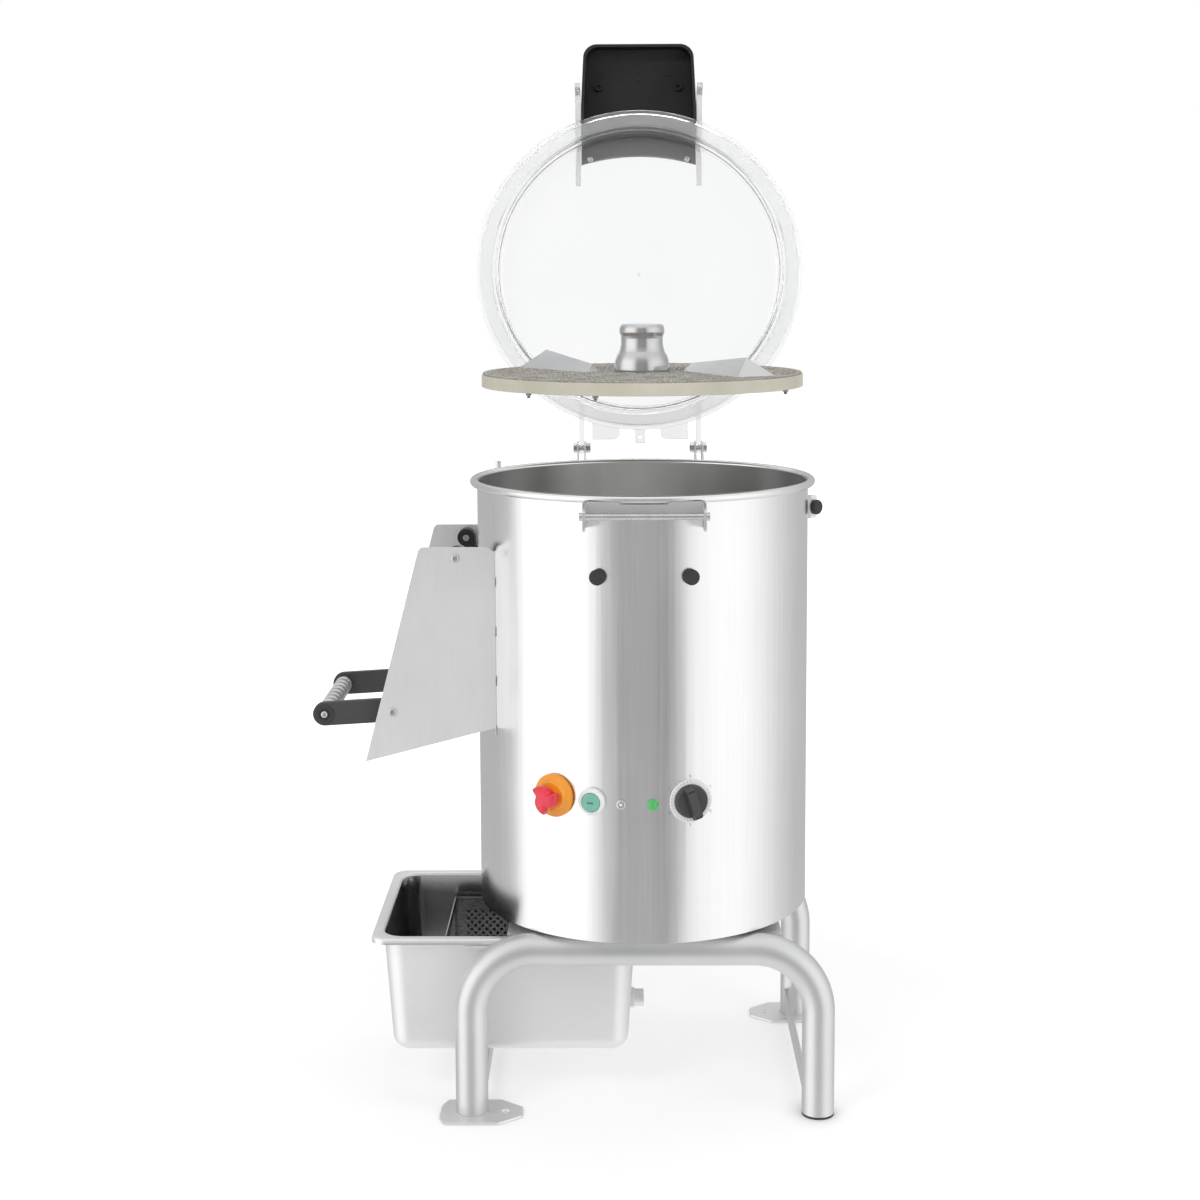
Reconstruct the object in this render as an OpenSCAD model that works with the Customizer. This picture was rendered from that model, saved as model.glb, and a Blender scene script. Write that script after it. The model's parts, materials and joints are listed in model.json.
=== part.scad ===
// Floor-standing electric potato peeler. The lid stands open and the abrasive disc is lifted out.
// Millimetres. The origin is on the floor under the drum's axis, +Z is up and -Y is the control side.

/* [Stand] */
// Distance between the leg centres, left to right
leg_dx = 406; // [396:1:440]
// Outer diameter of the leg tube
leg_tube_d = 38; // [34:0.5:38]
// Wall of the leg tube
leg_tube_wall = 2; // [1.5:0.5:3]
// Height of the cross tubes' centre line above the floor
cross_tube_z = 200; // [196:1:240]
// Bend radius of the leg tube's centre line
leg_bend_r = 75; // [60:1:90]
// Height of the side rails' lower edge above the floor
rail_z = 13; // [10:1:60]
// Height of the flat side rails
rail_h = 26; // [20:1:40]
// How far inside the legs' centres the side rails stand
rail_in = 13; // [0:1:14]
// Thickness of the flat side rails
rail_t = 4; // [3:0.5:6]
// Width of the tray under the drum
tray_w = 322; // [300:1:330]
// Thickness of the tray
tray_t = 3; // [2:0.5:4]
// How far the tray's top lies below the crown of the cross tubes
tray_drop = 7; // [6:0.5:9]
// Height of the spacers between the tray and the drum
spacer_h = 10; // [9.5:0.5:16]
// Diameter of the spacers
spacer_d = 24; // [18:1:30]

/* [Feet] */
// Length of a foot plate
plate_l = 96; // [90:1:110]
// Width of a foot plate
plate_w = 64; // [56:1:76]
// Thickness of a foot plate
plate_t = 3; // [3:0.5:6]
// How far a foot plate reaches outward past the leg's centre
plate_out = 37; // [30:1:44]
// Distance from the leg's centre to the floor bolt
floor_bolt_in = 39; // [34:1:44]
// Diameter of the floor bolt hole
floor_bolt_d = 10; // [8:0.5:12]
// Length of the chamfers at the bolt end of a foot plate
plate_cut_in = [26, 20];
// Length of the chamfers at the other end of a foot plate
plate_cut_out = [7, 17];
// Depth of the foot caps' plug
cap_plug = 22; // [12:1:40]

/* [Drum] */
// Outer diameter of the drum
drum_d = 400; // [396:1:404]
// Wall of the drum
drum_wall = 1.5; // [1:0.25:2.5]
// Height from the drum's lower edge to the middle of its rolled rim
drum_h = 511; // [505:1:560]
// Diameter of the rolled bead at the rim
bead_d = 9; // [7:0.5:10]
// Thickness of the drum's bottom plate
base_t = 3; // [2:0.5:4]
// Distance of the four fixing bolts from the axis, left-right and front-back
base_bolt_at = 110; // [100:1:116]
// Diameter of the fixing bolts
base_bolt_d = 8; // [6:1:10]
// Height of the machine room from the drum's lower edge to the chamber floor's top
machine_h = 205; // [205:1:215]
// Thickness of the chamber floor
floor_t = 3; // [2:0.5:4]

/* [Drive] */
// Diameter of the main shaft
shaft_d = 20; // [18:0.5:22]
// Outer diameter of the shaft bearings
bearing_d = 47; // [42:1:52]
// Width of a shaft bearing
bearing_w = 14; // [12:1:16]
// Outer diameter of the bearing housing
housing_d = 80; // [74:1:90]
// Length of the bearing housing
housing_l = 106; // [90:1:120]
// Diameter of the bearing housing's flange
housing_flange_d = 96; // [92:1:98]
// Diameter of the driven pulley
pulley_d = 140; // [120:1:150]
// Diameter of the motor pulley
motor_pulley_d = 50; // [40:1:60]
// Width of both pulleys
pulley_w = 18; // [14:1:22]
// Height of the pulleys' lower face above the drum's lower edge
pulley_z = 16; // [12:1:20]
// Distance from the main shaft to the motor shaft
belt_centres = 118; // [116:1:120]
// Diameter of the motor's body
motor_d = 130; // [110:1:132]
// Length of the motor's body
motor_l = 146; // [120:1:150]
// Diameter of the motor's flange
motor_flange_d = 138; // [134:1:140]
// Diameter of the motor shaft
motor_shaft_d = 14; // [11:1:19]

/* [Disc] */
// Diameter of the abrasive disc
disc_d = 386; // [370:1:388]
// Thickness of the disc's plate
disc_t = 14.4; // [10:0.2:18]
// Thickness of the abrasive coat
grit_t = 2; // [1.5:0.5:4]
// Height of the disc's underside above the chamber floor when it is seated
disc_seat = 15; // [15:0.5:20]
// How far the disc is lifted out
disc_lift = 405; // [400:1:420]
// Diameter of the hub's foot
hub_foot_d = 66.8; // [60:0.2:74]
// Diameter of the hub's waist
hub_waist_d = 50.4; // [48:0.1:54]
// Diameter of the hub's top
hub_top_d = 54.5; // [50:0.5:60]
// Height of the hub above the disc
hub_h = 57; // [55:1:70]
// Width of the square drive between shaft and hub
drive_sq = 16; // [14:0.5:17]
// Length of the square drive
drive_sq_l = 27; // [20:1:32]
// Length of the round pilot above the square drive
pilot_l = 20; // [12:1:24]
// Height of the folded paddles
paddle_h = 22; // [12:1:26]
// Distance of the disc's screws from the axis
disc_screw_r = 185; // [178:1:186]

/* [Lid] */
// Outer diameter of the lid's flange
lid_d = 440; // [436:1:446]
// Outer diameter of the lid's raised wall
lid_wall_d = 384; // [376:1:386]
// Thickness of the lid
lid_t = 4; // [3:0.5:5]
// Height of the lid's shoulder above its flange
lid_shoulder_h = 24; // [20:1:32]
// Extra height of the lid's crown at its middle
lid_crown = 12; // [6:1:20]
// Depth of the locating lip below the flange
lid_lip = 8; // [5:1:14]
// Angle to which the lid stands open
lid_open = 104; // [95:1:108]
// Distance from the drum's axis to the hinge pins
hinge_y = 243; // [243:1:250]
// Height of the hinge pins above the middle of the rim
hinge_up = 15; // [15:1:20]
// Distance from the middle plane to the hinge arms' centres
hinge_x = 78; // [74:1:82]
// Thickness of the lid's hinge arms
hinge_arm_t = 6.4; // [5:0.2:8]
// Diameter of the hinge pins
hinge_pin_d = 8; // [6:0.5:9]
// Thickness of the hinge bracket's cheeks
cheek_t = 2.5; // [2:0.5:3]
// Width of the lid handle
handle_w = 157; // [150:1:158]
// Distance of each handle screw from the middle
handle_screw_x = 66; // [60:1:68]
// Distance of the handle screws from the drum's axis, lid closed
handle_screw_y = 158; // [150:1:162]
// Distance from the lid's centre to the handle's outer end
handle_reach = 313; // [300:1:325]
// Distance from the lid's centre to the middle of the handle's curved inner end
handle_inner_r = 166; // [160:1:172]
// Radius of the handle's curved inner end
handle_arc_r = 247; // [220:1:300]
// Wall of the lid handle
handle_wall = 4; // [3:0.5:5]
// Radius of the handle's outer corners
handle_corner_r = 19; // [10:1:24]

/* [Latch] */
// Half the width of the latch bracket
ear_x = 68.7; // [64:0.1:69]
// Thickness of the ears
ear_t = 3; // [2:0.5:4]
// Distance from the drum's axis to the latch rod
latch_y = 218; // [216:0.5:222]
// Height of the latch rod below the middle of the rim
latch_down = 17; // [16:0.5:20]
// Diameter of the latch rod
latch_rod_d = 7.5; // [6:0.5:9]
// Length of the latch rod's riveted ends
rod_head_l = 3.7; // [2:0.1:4]
// Thickness of the lid's catch arms
catch_t = 7; // [4:0.5:7]

/* [Chute] */
// Overall width of the chute
chute_w = 200; // [198:1:206]
// Thickness of the chute's side plates
chute_t = 2; // [1.5:0.5:2.5]
// Height of the chute's top below the middle of the rim
chute_top_down = 68; // [60:1:72]
// How far the chute's top reaches out from the drum
chute_top_out = 62; // [58:1:70]
// How far the chute's outlet reaches out from the drum
chute_out = 128.5; // [124:0.5:140]
// Height of the chute's outlet tip above the chamber floor
chute_tip_down = -17.5; // [-22:0.5:-14]
// Width of the drum's discharge opening
opening_w = 144; // [120:1:146]
// Height of the discharge opening
opening_h = 181; // [150:1:184]
// Height of the opening's lower edge above the chamber floor's top
opening_up = 32; // [30:0.5:36]

/* [Door and lever] */
// Distance from the drum's wall to the door's hinge rod
door_hinge_out = 20; // [18:0.5:24]
// Height of the hinge rod below the chute's top
door_hinge_down = 13; // [12:0.5:18]
// Diameter of the hinge rod
door_rod_d = 8; // [6:0.5:9]
// How far the door pins stand past the arms, on the inside
door_pin_proud = 2; // [1:0.5:4]
// Width of the rib behind each door arm
door_arm_rib = 7; // [5:0.5:9]
// Thickness of the door panel
door_t = 2; // [1.5:0.5:3]
// Thickness of the door's gasket
gasket_t = 2; // [1.5:0.5:3]
// Width of the gasket's rim and of the door's overlap
door_lap = 5; // [4:0.5:5]
// Distance from the drum's wall to the lever's pivot
lever_out = 96; // [94:0.5:100]
// Height of the lever's pivot above the chamber floor's top
lever_up = 42; // [40:0.5:46]
// Length of the lever's outer arms, pivot to grip
lever_arm_l = 82; // [76:1:100]
// Droop of the outer arms below level
lever_droop = 3.5; // [2:0.5:8]
// Length of the lever's inner arms, pivot to roller
lever_inner_l = 105; // [104:0.5:105]
// Angle of the inner arms above level
lever_inner_angle = 52; // [51.5:0.5:52.5]
// Thickness of the lever's arms
lever_t = 8; // [6:0.5:9]
// Distance from the middle plane to the lever arms' inner faces
lever_y = 80; // [78:0.5:86]
// Radius of the lever arms' ends
lever_end_r = 14; // [12:0.1:14.5]
// Radius of the rollers at the inner arms' tips
roller_r = 8; // [6:0.5:8]
// Diameter of the lever's pivot screws
lever_pin_d = 8; // [6:0.5:10]
// Diameter of the ribbed grip
grip_d = 21; // [16:0.5:22]
// Number of the grip's ribs
grip_ribs = 9; // [5:1:12]

/* [Controls] */
// Height of the controls above the drum's lower edge
control_up = 165; // [155:1:170]
// Angles of the controls around the drum: stop, start, reset, lamp and timer
control_angles = [-30.8, -17.2, -7.7, 2.6, 15];
// Heights of the same controls above their common line
control_rise = [2, 0, -2, -2, 1];
// Angle to which the timer knob is turned
knob_turn = 17; // [-30:1:180]
// Diameter of the stop button's yellow collar plate
estop_plate_d = 50; // [46:1:60]
// Diameter of the red mushroom head
estop_head_d = 30; // [28:1:32]
// Travel of the stop button
estop_travel = 4; // [3:0.5:6]
// Diameter of the start button's bezel
start_bezel_d = 31; // [28:0.5:33]
// Diameter of the start button's cap
start_cap_d = 22; // [20:0.5:24]
// Travel of the start button
start_travel = 3; // [2:0.5:4]
// Diameter of the holes for the stop and start buttons
button_hole_d = 22; // [20:0.5:24]
// Diameter of the small reset bezel
reset_d = 11; // [9:0.5:13]
// Diameter of the green lamp
lamp_d = 13; // [10:0.5:15]
// Diameter of the timer knob
knob_d = 38.7; // [34:0.1:44]
// Height of the timer knob
knob_h = 20; // [16:1:24]
// Diameter of the timer's dial
dial_d = 50; // [48:1:54]
// Diameter of the timer's spindle
spindle_d = 6; // [5:0.5:8]

/* [Bumpers] */
// Diameter of the rubber bumpers
bumper_d = 18; // [14:0.5:22]
// Height of the rubber bumpers
bumper_h = 9; // [6:0.5:12]
// Angle of the front bumpers to each side
bumper_angle = 15; // [12:0.5:18]
// Height of the front bumpers below the middle of the rim
bumper_down = 88; // [80:1:95]
// Height of the side bumper below the middle of the rim
side_bumper_down = 34; // [30:1:40]

/* [Pan] */
// Length of the pan over its rim, left to right
pan_l = 325; // [315:1:330]
// Width of the pan over its rim, front to back
pan_w = 265; // [255:1:265]
// Depth of the pan
pan_h = 148; // [100:1:150]
// Width of the pan's rim
pan_rim = 12.5; // [11:0.5:13]
// Wall of the pan
pan_wall = 1; // [0.8:0.1:1.5]
// How much each side of the pan leans in towards its bottom
pan_taper = 10; // [6:0.5:14]
// Thickness of the pan's turned-down rim
pan_rim_h = 7; // [5:0.5:8]
// How far the pan's right rim lies past the drum's axis
pan_right = 2; // [0:0.5:6]
// Gap between the pan's rim and the legs on each side
pan_side_gap = 2.5; // [2:0.5:12]
// Gap between the pan's rim and the tray
pan_top_gap = 5; // [2:0.5:8]
// Thickness of the runners
runner_t = 2.5; // [2:0.5:3]
// Height of the runners' inner flange
runner_flange = 9; // [6:1:16]
// Left end of the runners, from the axis
runner_left = 212; // [200:1:220]
// Right end of the runners, from the axis
runner_right = 150; // [120:1:160]
// Height of the strainer
strainer_h = 105; // [80:1:115]
// Diameter of the strainer's holes
strainer_hole_d = 4; // [3:0.5:5]
// Distance between the strainer's holes
strainer_pitch = 9.6; // [8:0.2:14]

/* [Water] */
// Bore of the cable gland
cable_d = 8; // [6:0.5:10]
// Thread diameter of the cable gland
gland_d = 20; // [18:1:24]
// Length of the cable gland's cap
gland_l = 17; // [15:1:22]
// Angle of the cable gland around the drum
gland_angle = 150; // [120:1:160]
// Height of the cable gland above the drum's lower edge
gland_up = 40; // [24:1:60]
// Outer diameter of the drain pipe
drain_d = 54; // [45:1:60]
// Wall of the drain pipe
drain_wall = 1.5; // [1:0.5:2.5]
// Drain pipe's centre: left-right and front-back
drain_at = [-125, -50];
// Outer diameter of the water inlet pipe
inlet_d = 16; // [12:1:18]
// Bore of the water inlet pipe
inlet_bore_d = 12; // [8:0.5:13]
// Distance from the drum's axis to the inlet pipe
inlet_r = 215; // [212:1:225]
// Angle of the inlet pipe around the drum
inlet_angle = -126.3; // [-135:0.1:-120]
// Height of the water inlet's mouth below the middle of the rim
inlet_down = 95; // [80:1:140]
// Length of the upright inlet pipe
inlet_l = 172; // [120:1:300]
// Outer diameter of the pipe's tail
tail_d = 20.9; // [18:0.1:27]
// Length of the tail
tail_l = 14; // [12:1:20]
// Distance from the upright pipe's centre to the tail
tail_out = 21; // [18:1:40]
// Distance from the drum's axis to the lid switch's pin
switch_r = 227; // [226:0.5:232]
// Diameter of the lid switch's pin
switch_d = 7; // [5:0.5:7]
// Height of the pin's top above the middle of the rim
switch_up = 9; // [6:0.5:12]

/* [Fits] */
// Radial clearance of pins and shafts in their bores
pin_gap = 0.05; // [0.02:0.01:0.1]
// Gap between parts that move past each other
move_gap = 0.3; // [0.3:0.05:0.5]

/* [Hidden] */
$fn = 64;
eps = 0.01;

tube_r = leg_tube_d / 2;
leg_x = leg_dx / 2;
leg_dy = pan_w + leg_tube_d + 2 * pan_side_gap;
leg_y = leg_dy / 2;
tray_top = cross_tube_z + tube_r - tray_drop;
drum_z0 = tray_top + spacer_h;
drum_r = drum_d / 2;
rim_z = drum_z0 + drum_h;
bead_r = bead_d / 2;
bead_at = drum_r + bead_r - 0.5;
rim_top = rim_z + bead_r;
inner_r = drum_r - drum_wall;
floor_top = drum_z0 + machine_h;
floor_low = floor_top - floor_t;
opening_z0 = floor_top + opening_up;
disc_low = floor_top + disc_seat + move_gap + disc_lift;
disc_top = disc_low + disc_t + grit_t;
pulley_low = drum_z0 + pulley_z;
drive_low = floor_top + disc_seat;
hinge_z = rim_z + hinge_up;
lid_low = rim_top + 0.5;
lid_top = lid_low + lid_t;
shoulder_top = lid_top + lid_shoulder_h;
latch_z = rim_z - latch_down;
catch_x = handle_w / 2 + 0.8;
chute_top = rim_z - chute_top_down;
chute_tip_z = floor_top + chute_tip_down;
chute_root_z = opening_z0 - 9;
chute_in = chute_w / 2 - chute_t;
door_x = -(drum_r + door_hinge_out);
door_z = chute_top - door_hinge_down;
gasket_r = drum_r + move_gap;
panel_r = gasket_r + gasket_t;
panel_out_r = panel_r + door_t;
panel_half = opening_w / 2 + door_lap;
panel_low = opening_z0 - door_lap + 1;
panel_top = opening_z0 + opening_h + door_lap - 1;
door_arm_face = 2.5;
door_arm_back = 11;
door_arm_l = 108;
lever_x = -(drum_r + lever_out);
lever_z = floor_top + lever_up;
grip_at = [lever_x - lever_arm_l * cos(lever_droop), lever_z - lever_arm_l * sin(lever_droop)];
roller_at = [lever_x + lever_inner_l * cos(lever_inner_angle), lever_z + lever_inner_l * sin(lever_inner_angle)];
control_z = drum_z0 + control_up;
pan_top = tray_top - tray_t - pan_top_gap;
pan_x0 = pan_right - pan_l;
pan_mid_x = pan_right - pan_l / 2;
body_l = pan_l - 2 * pan_rim;
body_w = pan_w - 2 * pan_rim;
runner_top = pan_top - pan_rim_h - move_gap;
wall_hole_r = button_hole_d / 2;

// Points of an arc about c from angle a0 to a1
function arc(c, r, a0, a1, n = 16) = [for (i = [0 : n]) let (a = a0 + (a1 - a0) * i / n) c + r * [cos(a), sin(a)]];

// Outline around two circles and their two common tangents
module link2d(p, q, rp, rq) {
    lean = acos((rp - rq) / norm(q - p));
    way = atan2(q[1] - p[1], q[0] - p[0]);
    polygon(concat(arc(q, rq, way - lean, way + lean, 24), arc(p, rp, way + lean, way - lean + 360, 24)));
}

// A rounded rectangle centred on the origin
module round_rect(l, w, r) {
    square([l - 2 * r, w], center = true);
    square([l, w - 2 * r], center = true);
    for (x = [-1, 1], y = [-1, 1]) translate([x * (l / 2 - r), y * (w / 2 - r)]) circle(r);
}

// A ring or disc between two radii
module ring(ro, ri, h) {
    difference() {
        cylinder(r = ro, h = h);
        translate([0, 0, -1]) cylinder(r = ri, h = h + 2);
    }
}

// An outline in the XZ plane, extruded along Y from y0 to y1
module along_y(y0, y1) {
    translate([0, y1, 0]) rotate([90, 0, 0]) linear_extrude(height = y1 - y0) children();
}

// An outline in the YZ plane, extruded along X from x0 to x1
module along_x(x0, x1) {
    translate([x0, 0, 0]) rotate([90, 0, 90]) linear_extrude(height = x1 - x0) children();
}

// Children stand on the drum's wall at an angle from the front and at a height, with +Z outward
module on_drum(angle, z, r = drum_r) {
    rotate([0, 0, angle]) translate([0, -r, z]) rotate([90, 0, 0]) children();
}

// Children stand on one of the controls' places
module on_control(i) {
    on_drum(control_angles[i], control_z + control_rise[i]) children();
}

module both_x() {
    children();
    mirror([1, 0, 0]) children();
}

module both_y() {
    children();
    mirror([0, 1, 0]) children();
}

module drum_solid(r, z0, z1) {
    translate([0, 0, z0]) cylinder(r = r, h = z1 - z0, $fn = 180);
}

// ---- Stand

// The solid inside an inverted U: two legs, two elbows and a cross tube, in the XZ plane
module u_solid(r, low) {
    elbow_x = leg_x - leg_bend_r;
    elbow_z = cross_tube_z - leg_bend_r;
    for (s = [-1, 1]) {
        translate([s * leg_x, 0, low]) cylinder(r = r, h = elbow_z - low);
        translate([s * elbow_x, 0, elbow_z]) rotate([90, 0, 0]) rotate([0, 0, s > 0 ? 0 : 90])
            rotate_extrude(angle = 90, $fn = 96) translate([leg_bend_r, 0]) circle(r);
    }
    translate([-elbow_x, 0, cross_tube_z]) rotate([0, 90, 0]) cylinder(r = r, h = 2 * elbow_x);
}

module leg_frame(y) {
    inner = tube_r - leg_tube_wall;
    translate([0, y, 0]) difference() {
        u_solid(tube_r, plate_t);
        u_solid(inner, plate_t - 1);
    }
}

module front_leg_frame() {
    color("silver") leg_frame(-leg_y);
}

module rear_leg_frame() {
    color("silver") leg_frame(leg_y);
}

module side_rails() {
    color("silver") both_x() difference() {
        translate([leg_x - rail_in - rail_t / 2, -leg_y, rail_z]) cube([rail_t, leg_dy, rail_h]);
        both_y() translate([leg_x, leg_y, 0]) cylinder(r = tube_r, h = cross_tube_z);
    }
}

// A foot plate with its bolt end towards +X of the leg's centre
module foot_plate() {
    x0 = -plate_out;
    x1 = plate_l - plate_out;
    y = plate_w / 2;
    difference() {
        linear_extrude(height = plate_t) polygon([
            [x0, y - plate_cut_out[1]], [x0 + plate_cut_out[0], y],
            [x1 - plate_cut_in[0], y], [x1, y - plate_cut_in[1]],
            [x1, -y + plate_cut_in[1]], [x1 - plate_cut_in[0], -y],
            [x0 + plate_cut_out[0], -y], [x0, -y + plate_cut_out[1]]
        ]);
        translate([floor_bolt_in, 0, -1]) cylinder(d = floor_bolt_d, h = plate_t + 2);
    }
}

module foot_plates() {
    color("silver") {
        translate([-leg_x, -leg_y, 0]) foot_plate();
        translate([leg_x, leg_y, 0]) rotate([0, 0, 180]) foot_plate();
    }
}

module foot_caps() {
    color([0.08, 0.08, 0.08]) for (s = [-1, 1]) translate([s * leg_x, -s * leg_y, 0]) {
        cylinder(r = tube_r, h = plate_t);
        translate([0, 0, plate_t - eps]) cylinder(r = tube_r - leg_tube_wall - pin_gap, h = cap_plug);
    }
}

module base_tray() {
    low = tray_top - tray_t;
    color("silver") difference() {
        union() {
            translate([0, 0, low]) linear_extrude(height = tray_t) round_rect(tray_w, leg_dy, 12);
            for (x = [-1, 1], y = [-1, 1]) translate([x * base_bolt_at, y * base_bolt_at, low])
                cylinder(d = spacer_d, h = tray_t + spacer_h);
        }
        for (s = [-1, 1]) translate([-leg_x, s * leg_y, cross_tube_z]) rotate([0, 90, 0])
            cylinder(r = tube_r, h = leg_dx);
        for (s = [-1, 1]) translate([-leg_x, s * leg_y - (s < 0 ? tube_r : 0), low - 1])
            cube([leg_dx, tube_r, tray_t + 2]);
        for (x = [-1, 1], y = [-1, 1]) translate([x * base_bolt_at, y * base_bolt_at, low - 1])
            cylinder(d = base_bolt_d, h = tray_t + spacer_h + 2);
        translate([drain_at[0], drain_at[1], low - 1]) cylinder(d = drain_d + 2, h = tray_t + 2);
    }
}

module pan_runners() {
    inside = body_w / 2 + 2;
    outside = leg_y - tube_r + 2;
    color("silver") both_y() difference() {
        along_x(-runner_left, runner_right) polygon([
            [outside, runner_top], [inside, runner_top], [inside, runner_top - runner_flange],
            [inside + runner_t, runner_top - runner_flange], [inside + runner_t, runner_top - runner_t],
            [outside, runner_top - runner_t]
        ]);
        translate([0, leg_y, 0]) u_solid(tube_r, 0);
    }
}

module drum_shell() {
    color("gainsboro") difference() {
        union() {
            translate([0, 0, drum_z0]) rotate_extrude($fn = 180) {
                translate([inner_r, 0]) square([drum_wall, drum_h]);
                translate([bead_at, drum_h]) circle(bead_r);
            }
        }
        translate([-drum_r - 5, -opening_w / 2, opening_z0]) cube([drum_r, opening_w, opening_h]);
        for (i = [0, 1]) on_control(i) translate([0, 0, -20]) cylinder(r = wall_hole_r, h = 30);
        on_control(2) translate([0, 0, -20]) cylinder(d = 6, h = 30);
        on_control(3) translate([0, 0, -20]) cylinder(d = 8, h = 30);
        on_control(4) translate([0, 0, -20]) cylinder(d = spindle_d + 4, h = 30);
        on_drum(inlet_angle, rim_z - inlet_down) translate([0, 0, -20]) cylinder(d = inlet_d, h = 30);
        on_drum(gland_angle, drum_z0 + gland_up) translate([0, 0, -20]) cylinder(d = gland_d + 0.1, h = 30);
        for (s = [-1, 1]) on_drum(s * bumper_angle, rim_z - bumper_down) translate([0, 0, -20])
            cylinder(d = 6, h = 30);
    }
}

module drum_base() {
    color("silver") difference() {
        drum_solid(inner_r, drum_z0, drum_z0 + base_t);
        for (x = [-1, 1], y = [-1, 1]) translate([x * base_bolt_at, y * base_bolt_at, drum_z0 - 1])
            cylinder(d = base_bolt_d, h = base_t + 2);
        translate([drain_at[0], drain_at[1], drum_z0 - 1]) cylinder(d = drain_d + 2, h = base_t + 2);
    }
}

module base_bolts() {
    low = tray_top - tray_t;
    color("lightgray") for (x = [-1, 1], y = [-1, 1]) translate([x * base_bolt_at, y * base_bolt_at, 0]) {
        translate([0, 0, drum_z0 + base_t]) cylinder(d = base_bolt_d * 1.85, h = 5.5, $fn = 6);
        translate([0, 0, low]) cylinder(d = base_bolt_d, h = drum_z0 + base_t - low + eps);
    }
}

module chamber_floor() {
    color("silver") difference() {
        drum_solid(inner_r, floor_low, floor_top);
        drum_solid(bearing_d / 2 + 2, floor_low - 1, floor_top + 1);
        translate([drain_at[0], drain_at[1], floor_low - 1]) cylinder(d = drain_d, h = floor_t + 2);
    }
}

module drain_pipe() {
    low = tray_top - tray_t + 0.5;
    color("silver") translate([drain_at[0], drain_at[1], low]) ring(drain_d / 2, drain_d / 2 - drain_wall, floor_top - low);
}

// ---- Drive

module bearing_housing() {
    low = floor_low - housing_l;
    color([0.45, 0.47, 0.5]) difference() {
        union() {
            translate([0, 0, low]) cylinder(d = housing_d, h = housing_l);
            translate([0, 0, floor_low - 8]) cylinder(d = housing_flange_d, h = 8);
        }
        translate([0, 0, low - 1]) cylinder(d = bearing_d, h = bearing_w + 1);
        translate([0, 0, floor_low - bearing_w - 8]) cylinder(d = bearing_d, h = bearing_w + 9);
        translate([0, 0, low]) cylinder(d = bearing_d - 8, h = housing_l);
    }
}

module shaft_bearings() {
    color([0.7, 0.72, 0.75]) for (z = [floor_low - housing_l, floor_low - bearing_w - 8])
        translate([0, 0, z]) ring(bearing_d / 2, shaft_d / 2 + pin_gap, bearing_w);
}

module shaft_seal() {
    color([0.1, 0.1, 0.1]) translate([0, 0, floor_low])
        ring(bearing_d / 2 + 2, shaft_d / 2 + pin_gap, floor_t + 5);
}

module main_shaft() {
    half = drive_sq / 2;
    color("lightgray") {
        translate([0, 0, pulley_low - 4]) cylinder(d = shaft_d, h = drive_low - pulley_low + 4);
        translate([0, 0, drive_low - 6]) cylinder(d = shaft_d + 20, h = 6);
        translate([-half, -half, drive_low]) cube([drive_sq, drive_sq, drive_sq_l]);
        translate([0, 0, drive_low + drive_sq_l]) cylinder(d = drive_sq - 0.4, h = pilot_l);
    }
}

// Half section of a grooved pulley: rim height w, outer radius r and bore radius b
module pulley(r, b, w) {
    lip = 2.5;
    rotate_extrude($fn = 96) polygon([
        [b, 0], [r, 0], [r, lip], [r - 5, lip + 2], [r - 5, w - lip - 2], [r, w - lip], [r, w], [b, w]
    ]);
}

module driven_pulley() {
    color([0.4, 0.42, 0.45]) translate([0, 0, pulley_low]) pulley(pulley_d / 2, shaft_d / 2, pulley_w);
}

module motor_rotor() {
    color([0.5, 0.52, 0.55]) translate([0, belt_centres, pulley_low]) {
        pulley(motor_pulley_d / 2, 0, pulley_w);
        translate([0, 0, pulley_w - eps]) cylinder(d = motor_shaft_d, h = floor_low + 30 - motor_l - pulley_low - pulley_w);
    }
}

module motor_body() {
    low = floor_low - 8 - motor_l;
    color([0.3, 0.32, 0.35]) difference() {
        translate([0, belt_centres, 0]) union() {
            translate([0, 0, low]) cylinder(d = motor_d, h = motor_l);
            translate([0, 0, floor_low - 8]) intersection() {
                cylinder(d = motor_flange_d, h = 8);
                translate([0, -belt_centres, 0]) drum_solid(inner_r - 0.2, 0, 8);
            }
        }
        translate([0, belt_centres, low - 1]) cylinder(d = motor_shaft_d + 2 * pin_gap, h = 41);
        drum_solid(housing_flange_d / 2, floor_low - 9, floor_low + 1);
    }
}

module drive_belt() {
    main_r = pulley_d / 2 - 5 + move_gap;
    small_r = motor_pulley_d / 2 - 5 + move_gap;
    thick = 4;
    translate([0, 0, pulley_low + 5]) color([0.06, 0.06, 0.06]) linear_extrude(height = pulley_w - 10)
        difference() {
            link2d([0, 0], [0, belt_centres], main_r + thick, small_r + thick);
            link2d([0, 0], [0, belt_centres], main_r + 0.4, small_r + 0.2);
        }
}

// ---- Abrasive disc

module disc_plate() {
    socket_r = hub_foot_d / 2 - 8;
    color([0.82, 0.8, 0.72]) difference() {
        drum_solid(disc_d / 2, disc_low, disc_low + disc_t);
        drum_solid(socket_r, disc_low - 1, disc_low + disc_t + 1);
    }
}

module abrasive_top() {
    color([0.55, 0.52, 0.47]) translate([0, 0, disc_low + disc_t])
        ring(disc_d / 2 - 1.5, hub_foot_d / 2, grit_t, $fn = 180);
}

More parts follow.
